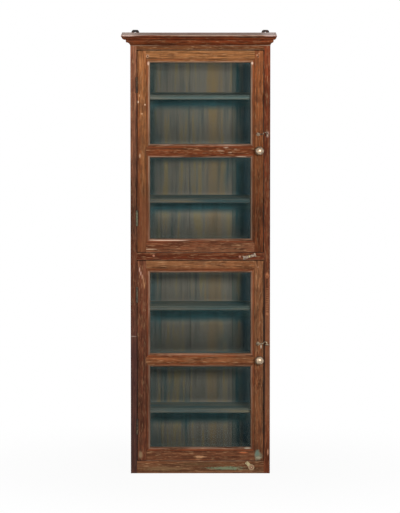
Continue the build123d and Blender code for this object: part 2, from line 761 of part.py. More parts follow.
def button_screw(x, z):
    """A round-headed screw with a thin washer face that keeps its button off the rail."""
    washer = -(BUTTON_STANDOFF - END_PLAY)
    head_seat = -(BUTTON_STANDOFF + BUTTON_THICKNESS + END_PLAY)
    crown = head_seat - BUTTON_SCREW_DOME
    profile = (
        Polyline(
            (0, SCREW_SHANK_LENGTH),
            (SCREW_SHANK_RADIUS, SCREW_SHANK_LENGTH),
            (SCREW_SHANK_RADIUS, 0),
            (BUTTON_SCREW_HEAD, 0),
            (BUTTON_SCREW_HEAD, washer),
            (BUTTON_SCREW_RADIUS, washer),
            (BUTTON_SCREW_RADIUS, head_seat),
            (BUTTON_SCREW_HEAD, head_seat),
        )
        + dome(BUTTON_SCREW_HEAD, head_seat, BUTTON_SCREW_DOME)
        + Line((0, crown), (0, SCREW_SHANK_LENGTH))
    )
    return turned_y(x, FRONT, z, profile)


def button_screws():
    return Compound(children=[button_screw(x, z).solid() for x, z in BUTTON_PLACES])


def drilled_rail(low, high):
    """A front rail bored for the button screw that stands in it, if one does."""
    rail = face_rail(low, high)
    for x, z in BUTTON_PLACES:
        if low < z < high:
            rail -= rod_y(x, z, FRONT, FRONT + SCREW_SHANK_LENGTH, SCREW_SHANK_RADIUS)
    return rail


# ---- wall hangers ----
def hanger(side):
    """An iron hanger plate on the back, its shoulders rounded and the hanging hole in its head."""
    head = TOP + HANGER_RISE
    foot = head - HANGER_LENGTH
    x = side * HANGER_X
    plate = block(
        (x - HANGER_WIDTH / 2, HALF_DEPTH, foot),
        (x + HANGER_WIDTH / 2, HALF_DEPTH + HANGER_THICKNESS, head),
    )
    corners = plate.edges().filter_by(Axis.Y)
    plate = fillet(corners, HANGER_SHOULDER)
    back = HALF_DEPTH + HANGER_THICKNESS
    return plate - rod_y(x, head - HANGER_HOLE_FROM_TOP, HALF_DEPTH, back, HANGER_HOLE_RADIUS)


# ---- the whole cabinet ----
def build():
    """Every piece of the cabinet by name."""
    pieces = {
        "left_side_board": side_board(-1),
        "right_side_board": side_board(1),
        "top_board": top_board(),
        "middle_board": housed_board(RAIL_BACK, UPPER_SILL - MIDDLE_THICKNESS, MIDDLE_THICKNESS),
        "bottom_board": housed_board(RAIL_BACK, 0, BOTTOM_THICKNESS),
        "cornice_front": cornice_front(),
        "cornice_left": cornice_left(),
        "cornice_right": cornice_right(),
        "left_hanger": hanger(-1),
        "right_hanger": hanger(1),
        "hinge_pins": hinge_pins(),
        "middle_turn_button": middle_button(),
        "base_turn_button": base_button(),
        "button_screws": button_screws(),
    }
    for name, (low, high) in RAIL_LEVELS.items():
        pieces[name] = drilled_rail(low, high)
    for number in range(len(BACK_BOARD_WIDTHS) + 1):
        pieces[f"back_board_{number + 1}"] = back_board(number)
    for number, level in enumerate(SHELF_LEVELS):
        pieces[f"shelf_{number + 1}"] = shelf(level)
    for name, door in DOORS.items():
        frame = moulded_frame(door)
        pieces[f"{name}_hinge_stile"] = door_stile(door, frame, -1)
        pieces[f"{name}_latch_stile"] = door_stile(door, frame, 1)
        for index, rail in enumerate(("bottom", "middle", "top")):
            pieces[f"{name}_door_{rail}_rail"] = door_rail(door, frame, index)
        for pane, place in zip(door.panes, ("lower", "upper")):
            pieces[f"{name}_door_{place}_glass"] = glass(pane)
        pieces[f"{name}_glazing_beads"] = glazing_beads(door)
        pieces[f"{name}_knob"] = knob(door)
        pieces[f"{name}_hook"] = hook(door)
        pieces[f"{name}_hook_pivot"] = hook_pivot(door)
        pieces[f"{name}_hook_staple"] = staple(door)
        for place, height in zip(("bottom", "top"), door.hinge_heights):
            pieces[f"{name}_{place}_hinge_frame_leaf"] = hinge_leaf(height, -1)
            pieces[f"{name}_{place}_hinge_door_leaf"] = hinge_leaf(height, 1)
    return pieces


def save(pieces):
    """Write each piece to its own STEP file."""
    os.makedirs("parts", exist_ok=True)
    for name, piece in pieces.items():
        export_step(piece, f"parts/{name}.step")


save(build())
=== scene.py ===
"""Looks of a glazed wall display case in old teak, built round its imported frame.

Lengths are metres in the frame's own axes: X to the right of someone facing the doors, Y into the
case and Z up. Each sub-assembly is a class that builds its small fixings and dresses its pieces,
each finish is a frozen dataclass that makes one material, and main() builds them in order.
"""

import logging
import math
from collections.abc import Callable, Iterable, Sequence
from dataclasses import dataclass, field
from enum import Enum
from functools import cached_property
from typing import ClassVar

import bmesh
import bpy
from mathutils import Matrix, Vector


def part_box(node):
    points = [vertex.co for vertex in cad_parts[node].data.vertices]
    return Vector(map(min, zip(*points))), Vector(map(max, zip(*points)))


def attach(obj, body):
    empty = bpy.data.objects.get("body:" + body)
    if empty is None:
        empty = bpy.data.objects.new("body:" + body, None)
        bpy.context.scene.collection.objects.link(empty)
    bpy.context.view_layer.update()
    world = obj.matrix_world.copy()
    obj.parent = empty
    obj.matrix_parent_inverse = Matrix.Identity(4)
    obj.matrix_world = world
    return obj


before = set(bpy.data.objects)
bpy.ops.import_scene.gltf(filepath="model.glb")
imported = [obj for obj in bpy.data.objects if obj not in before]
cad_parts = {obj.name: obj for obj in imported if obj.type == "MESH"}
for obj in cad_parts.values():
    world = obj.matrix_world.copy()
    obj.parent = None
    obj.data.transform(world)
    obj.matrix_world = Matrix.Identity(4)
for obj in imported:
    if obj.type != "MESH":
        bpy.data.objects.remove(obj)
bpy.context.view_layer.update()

LOG = logging.getLogger("display_case")
MM = 0.001
FRONT = -90 * MM  # the front face of the case
BACK = 90 * MM  # the outside of the back boards
CASE_TOP = 1.25  # where every scale of height ends

Colour = tuple[float, float, float, float]
Facing = Callable[[Vector, Vector], bool]
Socket = bpy.types.NodeSocket

SMOOTH = {"interpolation_type": "SMOOTHSTEP"}
TIMES = {"operation": "MULTIPLY"}
TIMES_PLUS = {"operation": "MULTIPLY_ADD"}
MINUS = {"operation": "SUBTRACT"}
LEAST = {"operation": "MINIMUM"}
MOST = {"operation": "MAXIMUM"}
SIZE = {"operation": "ABSOLUTE"}
OVER = {"data_type": "RGBA"}
DARKEN = {"data_type": "RGBA", "blend_type": "MULTIPLY"}
NOISE = ("Vector", "Scale", "Detail", "Roughness")


class Grain(Enum):
    """Which way a board's grain runs, as the stretch of its pattern along each axis."""

    ACROSS = (0.045, 1.0, 1.0)
    DEEP = (1.0, 0.045, 1.0)
    UP = (1.0, 1.0, 0.045)


class Tier(Enum):
    """The two glazed doors, one over the other, as the prefix of their pieces' names."""

    LOWER = "lower"
    UPPER = "upper"


class Edge(Enum):
    """An edge of a door's rail or stile with a moulding: its axis, and which end of it."""

    LEFT = (0, -1)
    RIGHT = (0, 1)
    FOOT = (2, -1)
    HEAD = (2, 1)


def linear(shade: str, strength: float = 1.0) -> Colour:
    """Turn an sRGB hex colour to linear light.

    Args:
        shade: The colour as "#rrggbb".
        strength: A factor on its linear values.

    Returns:
        Red, green, blue and a full alpha.
    """
    channels = (int(shade[i : i + 2], 16) / 255 for i in (1, 3, 5))
    straight = [c / 12.92 if c <= 0.04045 else ((c + 0.055) / 1.055) ** 2.4 for c in channels]
    red, green, blue = (min(1.0, c * strength) for c in straight)
    return red, green, blue, 1.0


@dataclass
class Bench:
    """The nodes of one material while it is made, and the corners of the piece it is made for."""

    tree: bpy.types.NodeTree
    low: Vector = field(default_factory=Vector)
    high: Vector = field(default_factory=Vector)

    def add(
        self,
        kind: str,
        inputs: dict[int | str, object] | Sequence[object] = (),
        stops: Sequence[tuple[float, Colour]] = (),
        **settings: object,
    ) -> Sequence[Socket]:
        """Add one shader node with its settings, constants and links.

        Args:
            kind: The node's type, without its "ShaderNode" prefix.
            inputs: A socket to link, or a constant, for each of its inputs: by name or number, or
                in order from the first.
            stops: Places and colours of a colour ramp.
            **settings: The node's own properties.

        Returns:
            The new node's outputs.
        """
        node = self.tree.nodes.new("ShaderNode" + kind)
        for name, value in settings.items():
            setattr(node, name, value)
        for key, value in inputs.items() if isinstance(inputs, dict) else enumerate(inputs):
            if isinstance(value, Socket):
                self.tree.links.new(value, node.inputs[key])
            else:
                node.inputs[key].default_value = value
        if stops:
            ramp = node.color_ramp.elements
            ramp.remove(ramp[1])
            ramp[0].position, ramp[0].color = stops[0]
            for place, colour in stops[1:]:
                ramp.new(place).color = colour
        return node.outputs

    @cached_property
    def place(self) -> Socket:
        """The point that the material reads, in the piece's own axes."""
        return self.add("TexCoord")["Object"]

    @cached_property
    def arris(self) -> Socket:
        """How far the point is from the nearest arris: the middle one of its three insets."""
        middle, half = (self.low + self.high) / 2, (self.high - self.low) / 2
        off = self.add("VectorMath", (self.place, middle), **MINUS)[0]
        off = self.add("VectorMath", (off,), **SIZE)[0]
        inset = self.add("VectorMath", (half, off), **MINUS)[0]
        x, y, z = self.add("SeparateXYZ", (inset,))
        least = self.add("Math", (x, y), **LEAST)[0]
        most = self.add("Math", (x, y), **MOST)[0]
        upper = self.add("Math", (most, z), **LEAST)[0]
        return self.add("Math", (least, upper), **MOST)[0]

    def settled(self, noise: Socket, thinnest: float, amount: float) -> Socket:
        """Work out the dust that has settled on what faces up.

        Args:
            noise: The noise that breaks the dust up.
            thinnest: The value of that noise at which dust starts on a level face.
            amount: How thickly it covers where it is thickest.

        Returns:
            The dust's share.
        """
        normal = self.add("NewGeometry")["True Normal"]
        up = self.add("SeparateXYZ", (normal,))[2]
        level = self.add("Math", (up, noise), **TIMES)[0]
        inputs = (level, thinnest, 0.62, 0.0, amount)
        return self.add("MapRange", inputs, **SMOOTH)[0]


@dataclass(frozen=True)
class Patch:
    """A local stain, rub or smear: an oval or a strip seen from the front, with a ragged edge.

    It goes in to its depth behind the case's front, or right through where the depth is nought.
    """

    x: float
    z: float
    width: float
    height: float
    shade: str
    strength: float = 0.6
    ragged: float = 0.6
    square: bool = False
    depth: float = 60 * MM

    HEART: ClassVar[float] = 0.35  # share of the way out at full strength

    def over(self, on: Bench, rough: Socket, below: Socket) -> Socket:
        """Lay the patch over a colour.

        Args:
            on: The piece's bench.
            rough: Noise from 0 to 1 that breaks the patch's edge.
            below: The colour under it.

        Returns:
            The colour and its patch.
        """
        inward = 1 / self.depth if self.depth else 0.0
        size = (2 / self.width, inward, 2 / self.height)
        shift = (-2 * self.x / self.width, -FRONT * inward, -2 * self.z / self.height)
        oval = on.add("Mapping", {"Vector": on.place, "Location": shift, "Scale": size})[0]
        if self.square:
            out = on.add("VectorMath", (oval,), **SIZE)[0]
            across, deep, along = on.add("SeparateXYZ", (out,))
            reach = on.add("Math", (across, along), **MOST)[0]
            reach = on.add("Math", (reach, deep), **MOST)[0]
        else:
            reach = on.add("VectorMath", (oval,), operation="LENGTH")["Value"]
        torn = on.add("Math", (rough, -2 * self.ragged, reach), **TIMES_PLUS)[0]
        rim, heart = 1.0 - self.ragged, self.HEART - self.ragged
        share = on.add("MapRange", (torn, rim, heart, 0.0, self.strength), **SMOOTH)[0]
        return on.add("Mix", {0: share, 6: below, 7: linear(self.shade)}, **OVER)[2]


@dataclass(frozen=True)
class HeightShade:
    """How dark a board's finish is at each height, in bands: painted shade in some uses, a plain
    darkening towards the foot in others.
    """

    foot: float
    head: float
    steps: tuple[tuple[float, float], ...]
    wander: float = 8 * MM

    def over(self, on: Bench, rough: Socket) -> Socket:
        """Read the shade at a point.

        Args:
            on: The piece's bench.
            rough: Noise that lets the bands wander by a few millimetres.

        Returns:
            A factor on the colour, 1 where the finish is as it was.
        """
        height = on.add("SeparateXYZ", (on.place,))[2]
        height = on.add("Math", (rough, self.wander, height), **TIMES_PLUS)[0]
        foot, head = self.foot + self.wander / 2, self.head + self.wander / 2
        share = on.add("MapRange", (height, foot, head))[0]
        span = self.head - self.foot
        stops = [((z - self.foot) / span, (grey, grey, grey, 1.0)) for z, grey in self.steps]
        return on.add("ValToRGB", (share,), stops)[0]


class Finish:
    """What a piece can be dressed in."""

    def lay(self, on: Bench) -> Socket:
        """Add the finish's nodes and return its shader."""
        raise NotImplementedError

    def make(self, name: str, low: Vector, high: Vector) -> bpy.types.Material:
        """Make the material of one piece.

        Args:
            name: The material's name.
            low: The piece's lowest corner.
            high: The piece's highest corner.

        Returns:
            The material.
        """
        material = bpy.data.materials.new(name)
        material.use_nodes = True
        material.node_tree.nodes.clear()
        bench = Bench(material.node_tree, low, high)
        bench.add("OutputMaterial", {"Surface": self.lay(bench)})
        return material


@dataclass(frozen=True)
class AgedTeak(Finish):
    """Plain-sawn teak, planed by hand, oiled long ago and handled since.

    It gives the eye long streaks of dark and light wood with open pores between them, redder and
    yellower drifts, brown grime in blotches, pale rubbed arrises and grey dust on every ledge, with
    hardly any shine.
    """

    heart: str
    grain: Grain
    seed: float
    rubbed: float = 0.22
    arris: str = "#b08b6c"
    grime: float = 0.5
    beads: tuple[Edge, ...] = ()
    bead_wear_and_highlight: float = 0.9
    bead_floor: float = 0.3
    # Painted shade on the lower face of a foot moulding: the factor at its darkest.
    underside: float = 1.0
    dust: float = 0.8
    dust_tone: str = "#98827a"
    bands: HeightShade | None = None
    behind: float = 1.0
    patches: tuple[Patch, ...] = ()

    STREAK: ClassVar[float] = 5.0 * MM
    FIBRE: ClassVar[float] = 2.2 * MM  # drawn twice as coarse as real fibres, so that they show
    PORE: ClassVar[float] = 1.1 * MM  # drawn about three times as wide as a real pore
    FIGURE: ClassVar[float] = 30 * MM
    BLOTCH: ClassVar[float] = 70 * MM
    MOTTLE: ClassVar[float] = 6 * MM
    ARRIS: ClassVar[float] = 2.0 * MM
    MOULDING: ClassVar[float] = 13 * MM
    BAND_DEPTH: ClassVar[float] = 40 * MM  # how far in from the front the bands hold in full
    RINGS: ClassVar[float] = 90.0  # radians of growth lines over the figure's whole swing

    def lay(self, on: Bench) -> Socket:
        """Lay the wood, its wear, its grime, its painted shade and its dust.

        Args:
            on: The piece's bench.

        Returns:
            The surface's shader.
        """
        offset = (self.seed * 3.71, self.seed * 1.93, self.seed * 2.57)
        moved = on.add("Mapping", {"Vector": on.place, "Location": offset})[0]
        bend = on.add("TexNoise", {"Vector": moved, "Scale": 6.0, "Detail": 1.0})["Color"]
        wandering = on.add("VectorMath", (bend, (0.014, 0.014, 0.014), moved), **TIMES_PLUS)[0]
        grain = on.add("Mapping", {"Vector": wandering, "Scale": self.grain.value})[0]
        noises = (
            (grain, 1 / self.STREAK, 4.0, 0.66),
            (grain, 1 / self.FIBRE, 2.0, 0.6),
            (grain, 1 / self.PORE, 1.0, 0.5),
            (grain, 1 / self.FIGURE, 2.0, 0.5),
            (moved, 1 / self.BLOTCH, 5.0, 0.65),
            (moved, 1 / self.MOTTLE, 4.0, 0.7),
        )
        streak, fibre, pore, figure, blotch, mottle = (
            on.add("TexNoise", dict(zip(NOISE, noise, strict=True)))[0] for noise in noises
        )
        tone = on.add("Mix", {0: 0.38, 2: streak, 3: fibre})[0]
        tone = on.add("Mix", {0: 0.30, 2: tone, 3: blotch})[0]
        steps = ((0.36, 0.30), (0.44, 0.62), (0.50, 1.0), (0.56, 1.35), (0.62, 1.8), (0.72, 2.4))
        stops = [(place, linear(self.heart, strength)) for place, strength in steps]
        wood = on.add("ValToRGB", (tone,), stops)[0]
        wood = self._veins(on, figure, pore, blotch, wood)
        wood = self._arrises(on, streak, wood)
        if self.beads:
            wood = self._moulding(on, streak, wood)
        # The bands: painted shade on the cornice, and a plain darkening towards the foot on the
        # sides and stiles.
        if self.bands:
            depth = on.add("SeparateXYZ", (on.place,))[1]
            share = on.add("MapRange", (depth, FRONT, FRONT + self.BAND_DEPTH, 1.0, self.behind))[0]
            shade = self.bands.over(on, streak)
            wood = on.add("Mix", {0: share, 6: wood, 7: shade}, **DARKEN)[2]
        dust = on.settled(blotch, 0.30, self.dust)
        wood = on.add("Mix", {0: dust, 6: wood, 7: linear(self.dust_tone)}, **OVER)[2]
        torn = on.add("Mix", {0: 0.55, 2: streak, 3: mottle})[0]
        for patch in self.patches:
            wood = patch.over(on, torn, wood)

        rough = on.add("MapRange", (tone, 0.38, 0.62, 0.75, 0.55))[0]
        relief = on.add("Math", (pore, -0.8, tone), **TIMES_PLUS)[0]
        bump = on.add("Bump", {"Strength": 0.6, "Distance": 0.7 * MM, "Height": relief})[0]
        inputs = {"Base Color": wood, "Roughness": rough, "Specular IOR Level": 0.1, "Normal": bump}
        return on.add("BsdfPrincipled", inputs)[0]

    def _veins(
        self, on: Bench, figure: Socket, pore: Socket, blotch: Socket, wood: Socket
    ) -> Socket:
        """Lay red drifts, dark growth lines, pores, pale flecks and grime over the wood's streaks.

        Args:
            on: The piece's bench.
            figure: The broad figure.
            pore: The pores' noise.
            blotch: The grime's noise.
            wood: The colour under them.

        Returns:
            The wood with its veins.
        """
        red = on.add("MapRange", (figure, 0.46, 0.62, 0.0, 0.6), **SMOOTH)[0]
        wood = on.add("Mix", {0: red, 6: wood, 7: (0.98, 0.66, 0.46, 1.0)}, **DARKEN)[2]
        wave = on.add("Math", (figure, self.RINGS), **TIMES)[0]
        rings = on.add("Math", (wave,), operation="SINE")[0]
        layers = (
            ((rings, 0.55, 1.0, 0.0, 0.42), SMOOTH, "#3a1c0e"),
            ((pore, 0.60, 0.72, 0.0, 0.6), {}, "#24110a"),
            ((pore, 0.40, 0.30, 0.0, 0.5), {}, "#c79a70"),
            ((blotch, 0.52, 0.68, 0.0, self.grime), SMOOTH, "#33190f"),
        )
        for inputs, way, tint in layers:
            share = on.add("MapRange", inputs, **way)[0]
            wood = on.add("Mix", {0: share, 6: wood, 7: linear(tint)}, **OVER)[2]
        return wood

    def _moulding(self, on: Bench, rough: Socket, wood: Socket) -> Socket:
        """Rub the round of the moulding by a pane pale, as wear with a painted highlight, and
        darken its hollow and its quirk with painted shade.

        Args:
            on: The piece's bench.
            rough: Noise that breaks the line.
            wood: The colour under it.

        Returns:
            The wood with its moulding worn.
        """
        axes = on.add("SeparateXYZ", (on.place,))
        nearest: Socket | None = None
        for edge in self.beads:
            axis, side = edge.value
            inputs = (axes[axis], (on.high if side > 0 else on.low)[axis])
            inset = on.add("Math", inputs, **MINUS)[0]
            inset = on.add("Math", (inset,), **SIZE)[0]
            # Painted shade: a foot moulding's lower face is darkened down to the underside factor.
            if edge is Edge.FOOT:
                under = on.add("MapRange", (inset, 9 * MM, 12 * MM, self.underside, 1.0))[0]
                wood = on.add("Mix", {0: 1.0, 6: wood, 7: under}, **DARKEN)[2]
            if nearest is not None:
                inset = on.add("Math", (nearest, inset), **LEAST)[0]
            nearest = inset
        share = on.add("MapRange", (nearest, 0.0, self.MOULDING))[0]
        # Pale round: rubbed wear and painted highlight. Red hollow and dark quirk: painted shade.
        pale, red, shade = (linear(tint)[:3] for tint in ("#b89a84", "#743416", "#34170b"))
        stops = (
            (0.0, (*pale, self.bead_wear_and_highlight)),
            (0.26, (*pale, self.bead_wear_and_highlight * 0.8)),
            (0.46, (*red, 0.6)),
            (0.72, (*red, 0.6)),
            (0.79, (*shade, 0.65)),
            (0.86, (*shade, 0.55)),
            (0.94, (*shade, 0.0)),
        )
        colour, cover = on.add("ValToRGB", (share,), stops)
        broken = on.add("MapRange", (rough, 0.40, 0.54, self.bead_floor, 1.0))[0]
        amount = on.add("Math", (cover, broken), **TIMES)[0]
        return on.add("Mix", {0: amount, 6: wood, 7: colour}, **OVER)[2]

    def _arrises(self, on: Bench, rough: Socket, wood: Socket) -> Socket:
        """Lay the arris colour along the board's outer arrises here and there: pale rubbed wood on
        most boards, painted shade of the gaps on the sides and stiles.

        Args:
            on: The piece's bench.
            rough: Noise that breaks the line.
            wood: The colour under it.

        Returns:
            The wood with its arrises worn.
        """
        ragged = on.add("Math", (rough, 12 * MM, -6 * MM), **TIMES_PLUS)[0]
        near = on.add("Math", (on.arris, ragged))[0]
        worn = on.add("MapRange", (near, 0.0, self.ARRIS, self.rubbed, 0.0), **SMOOTH)[0]
        return on.add("Mix", {0: worn, 6: wood, 7: linear(self.arris)}, **OVER)[2]


@dataclass(frozen=True)
class WornPaint(Finish):
    """Thin blue-green paint brushed on old teak boards and worn through by years of use.

    It gives the eye a flat dark teal that breaks along the grain into grey and ochre wood, with a
    film of dust, and bare dark teak where the brush stopped in front of the shelves.
    """

    grain: Grain
    seed: float
    bare: float = 0.5
    paint: str = "#3d6870"
    wood: str = "#958c81"
    ochre: str = "#a3906e"
    film: str = "#90978f"
    worn_edge: float = 2.5 * MM
    front: float = -1.0
    streak: float = 8 * MM
    detail: float = 4.0
    bands: HeightShade | None = None
    kept: HeightShade | None = None
    patches: tuple[Patch, ...] = ()

    FIBRE: ClassVar[float] = 2.4 * MM
    BLOTCH: ClassVar[float] = 60 * MM

    def lay(self, on: Bench) -> Socket:
        """Lay the paint, what shows through it, its shade and its dust.

        Args:
            on: The piece's bench.

        Returns:
            The surface's shader.
        """
        offset = (self.seed * 2.93, self.seed * 4.11, self.seed * 1.37)
        moved = on.add("Mapping", {"Vector": on.place, "Location": offset})[0]
        grain = on.add("Mapping", {"Vector": moved, "Scale": self.grain.value})[0]
        stretch = [max(0.3, s) for s in self.grain.value]
        drawn = on.add("Mapping", {"Vector": moved, "Scale": stretch})[0]
        noises = (
            (grain, 1 / self.streak, self.detail, 0.6),
            (grain, 1 / self.FIBRE, 2.0, 0.5),
            (drawn, 1 / self.BLOTCH, 3.0, 0.5),
        )
        streak, fibre, blotch = (
            on.add("TexNoise", dict(zip(NOISE, noise, strict=True)))[0] for noise in noises
        )
        tone = on.add("Mix", {0: 0.4, 2: streak, 3: fibre})[0]
        stops = (
            (0.36, linear(self.wood, 0.75)),
            (0.50, linear(self.wood)),
            (0.60, linear(self.ochre)),
            (0.70, linear(self.ochre, 1.15)),
        )
        wood = on.add("ValToRGB", (tone,), stops)[0]
        brushed = on.add("MapRange", (tone, 0.40, 0.60, 0.88, 1.12))[0]
        coat = on.add("Mix", {0: 1.0, 6: linear(self.paint), 7: brushed}, **DARKEN)[2]
        through = on.add("Mix", {0: 0.72, 2: streak, 3: blotch})[0]
        edge = 0.62 - 0.24 * self.bare
        showing = on.add("MapRange", (through, edge - 0.15, edge + 0.13), **SMOOTH)[0]
        skin = on.add("Mix", {0: showing, 6: coat, 7: wood}, **OVER)[2]
        for patch in self.patches:
            skin = patch.over(on, streak, skin)
        if self.kept:
            skin = on.add("Mix", {0: self.kept.over(on, streak), 6: skin, 7: coat}, **OVER)[2]

        near = on.add("Math", (on.arris, tone), **TIMES)[0]
        worn = on.add("MapRange", (near, 0.0, self.worn_edge / 2, 0.7, 0.0), **SMOOTH)[0]
        skin = on.add("Mix", {0: worn, 6: skin, 7: linear(self.film)}, **OVER)[2]
        if self.bands:
            skin = on.add("Mix", {0: 1.0, 6: skin, 7: self.bands.over(on, streak)}, **DARKEN)[2]
        dust = on.settled(blotch, 0.25, 0.5)
        skin = on.add("Mix", {0: dust, 6: skin, 7: linear("#6d7a76")}, **OVER)[2]
        depth = on.add("SeparateXYZ", (on.place,))[1]
        unpainted = on.add("Math", (depth, self.front), operation="LESS_THAN")[0]
        skin = on.add("Mix", {0: unpainted, 6: skin, 7: linear("#3a1d10")}, **OVER)[2]

        rough = on.add("MapRange", {0: showing, 3: 0.6, 4: 0.8})[0]
        relief = on.add("Math", (showing, -0.35, tone), **TIMES_PLUS)[0]
        bump = on.add("Bump", {"Strength": 0.4, "Distance": 0.5 * MM, "Height": relief})[0]
        inputs = {"Base Color": skin, "Roughness": rough, "Specular IOR Level": 0.1, "Normal": bump}
        return on.add("BsdfPrincipled", inputs)[0]


@dataclass(frozen=True)
class AgedBrass(Finish):
    """Cast and filed brass, dulled brown in its hollows and rubbed bright where hands touch it."""

    bright: str = "#c9ab78"
    dull: str = "#4b3a26"
    tarnish: float = 0.5
    seed: float = 0.0
    patches: tuple[Patch, ...] = ()

    MOTTLE: ClassVar[float] = 6 * MM
    FILE_MARK: ClassVar[float] = 0.7 * MM
    SHELTER: ClassVar[float] = 0.14  # how much duller a piece is at its back than at its middle

    def lay(self, on: Bench) -> Socket:
        """Lay the metal, its tarnish and its file marks.

        Args:
            on: The piece's bench.

        Returns:
            The surface's shader.
        """
        offset = (self.seed, self.seed * 2, self.seed * 3)
        moved = on.add("Mapping", {"Vector": on.place, "Location": offset})[0]
        inputs = {"Vector": moved, "Scale": 1 / self.MOTTLE, "Detail": 5.0, "Roughness": 0.65}
        mottle = on.add("TexNoise", inputs)[0]
        marks = on.add("TexNoise", {"Vector": moved, "Scale": 1 / self.FILE_MARK, "Detail": 2.0})[0]
        out = on.add("VectorMath", (on.place, (on.low + on.high) / 2), **MINUS)[0]
        forward = on.add("SeparateXYZ", (out,))[1]
        half = max(on.high.y - on.low.y, MM) / 2
        sheltered = on.add("MapRange", (forward, -half, half, -self.SHELTER, self.SHELTER))[0]
        shaded = on.add("Math", (mottle, sheltered))[0]
        edge = 0.72 - 0.44 * self.tarnish
        film = on.add("MapRange", (shaded, edge - 0.1, edge + 0.12), **SMOOTH)[0]
        tints = {6: linear(self.bright), 7: linear(self.dull)}
        colour = on.add("Mix", {0: film, **tints}, **OVER)[2]
        for patch in self.patches:
            colour = patch.over(on, mottle, colour)
        rough = on.add("MapRange", {0: film, 3: 0.30, 4: 0.62})[0]
        metal = on.add("MapRange", {0: film, 3: 1.0, 4: 0.55})[0]
        relief = on.add("Mix", {0: 0.3, 2: mottle, 3: marks})[0]
        bump = on.add("Bump", {"Strength": 0.35, "Distance": 0.3 * MM, "Height": relief})[0]
        inputs = {"Base Color": colour, "Metallic": metal, "Roughness": rough, "Normal": bump}
        return on.add("BsdfPrincipled", inputs)[0]


@dataclass(frozen=True)
class BlackIron(Finish):
    """Forged iron, blacked with oil and freckled with rust, rough enough to lose its shine."""

    black: str = "#1d1a19"
    rust: str = "#5a3826"
    rusting: float = 0.35
    seed: float = 0.0

    SCALE: ClassVar[float] = 3 * MM
    RUB: ClassVar[float] = 0.8 * MM

    def lay(self, on: Bench) -> Socket:
        """Lay the black iron, its rust and its rubbed arrises.

        Args:
            on: The piece's bench.

        Returns:
            The surface's shader.
        """
        offset = (self.seed, self.seed * 2, self.seed * 3)
        moved = on.add("Mapping", {"Vector": on.place, "Location": offset})[0]
        inputs = {"Vector": moved, "Scale": 1 / self.SCALE, "Detail": 6.0, "Roughness": 0.7}
        scale = on.add("TexNoise", inputs)[0]
        edge = 0.70 - 0.4 * self.rusting
        rusty = on.add("MapRange", (scale, edge - 0.05, edge + 0.08), **SMOOTH)[0]
        rubbed = on.add("MapRange", (on.arris, 0.0, self.RUB, 0.5, 0.0))[0]
        colour = on.add("Mix", {0: rusty, 6: linear(self.black), 7: linear(self.rust)}, **OVER)[2]
        colour = on.add("Mix", {0: rubbed, 6: colour, 7: linear("#6a6663")}, **OVER)[2]
        rough = on.add("MapRange", {0: rusty, 3: 0.5, 4: 0.85})[0]
        metal = on.add("MapRange", {0: rusty, 3: 0.8, 4: 0.1})[0]
        bump = on.add("Bump", {"Strength": 0.5, "Distance": 0.4 * MM, "Height": scale})[0]
        inputs = {"Base Color": colour, "Metallic": metal, "Roughness": rough, "Normal": bump}
        return on.add("BsdfPrincipled", inputs)[0]


@dataclass(frozen=True)
class WindowGlass(Finish):
    """Old drawn window glass: faintly green, gently rippled and dusty near its edges."""

    tint: str = "#f8faf9"
    seed: float = 0.0

    RIPPLE: ClassVar[float] = 45 * MM
    DUST: ClassVar[float] = 30 * MM
    RIM: ClassVar[float] = 22 * MM
    MIRROR: ClassVar[float] = 0.22  # share of a clean pane's reflection that the old film leaves

    def lay(self, on: Bench) -> Socket:
        """Lay the clear pane, its reflection and its dust.

        Args:
            on: The piece's bench.

        Returns:
            The surface's shader.
        """
        offset, stretch = (self.seed, 0.0, self.seed), (1.0, 1.0, 0.3)
        moved = on.add("Mapping", {"Vector": on.place, "Location": offset, "Scale": stretch})[0]
        ripple = on.add("TexNoise", {"Vector": moved, "Scale": 1 / self.RIPPLE})[0]
        inputs = {"Vector": moved, "Scale": 1 / self.DUST, "Detail": 6.0, "Roughness": 0.7}
        smear = on.add("TexNoise", inputs)[0]
        bump = on.add("Bump", {"Strength": 0.2, "Distance": 0.8 * MM, "Height": ripple})[0]
        clear = on.add("BsdfTransparent", {"Color": linear(self.tint)})[0]
        inputs = {"Color": linear("#9fb3b0"), "Roughness": 0.04, "Normal": bump}
        shine = on.add("BsdfAnisotropic", inputs)[0]
        film = on.add("BsdfDiffuse", {"Color": linear("#8f9a92")})[0]
        fresnel = on.add("Fresnel", {"IOR": 1.5, "Normal": bump})[0]
        mirror = on.add("Math", (fresnel, self.MIRROR), **TIMES)[0]
        pane = on.add("MixShader", (mirror, clear, shine))[0]
        dusty = on.add("MapRange", (smear, 0.45, 0.75, 0.004, 0.02))[0]
        rim = on.add("MapRange", (on.arris, 0.0, self.RIM, 0.05, 0.0))[0]
        dusty = on.add("Math", (dusty, rim))[0]
        return on.add("MixShader", (dusty, pane, film))[0]


@dataclass(frozen=True)
class WhitePaper(Finish):
    """Matt white paper on the studio's floor, seen as plain white but for a faint shadow."""

    tint: str = "#c9c7c3"
    near: float = 0.2
    far: float = 1.1

    def lay(self, on: Bench) -> Socket:
        """Lay the paper, and white over it for the rays that look at it.

        Args:
            on: The floor's bench.

        Returns:
            The surface's shader.
        """
        paper = on.add("BsdfDiffuse", {"Color": linear(self.tint)})[0]
        white = on.add("Emission", {"Strength": 1.0})[0]
        away = on.add("VectorMath", (on.place,), operation="LENGTH")["Value"]
        plain = on.add("MapRange", (away, self.near, self.far, 0.95, 1.0), **SMOOTH)[0]
        share = on.add("Math", (seen(on), plain), **TIMES)[0]
        return on.add("MixShader", (share, paper, white))[0]


def seen(on: Bench) -> Socket:
    """Return a socket that is 1 for rays that show the surround itself: camera, mirror, glass."""
    path = on.add("LightPath")
    either = on.add("Math", (path["Is Camera Ray"], path["Is Glossy Ray"]), **MOST)[0]
    return on.add("Math", (either, path["Is Transmission Ray"]), **MOST)[0]


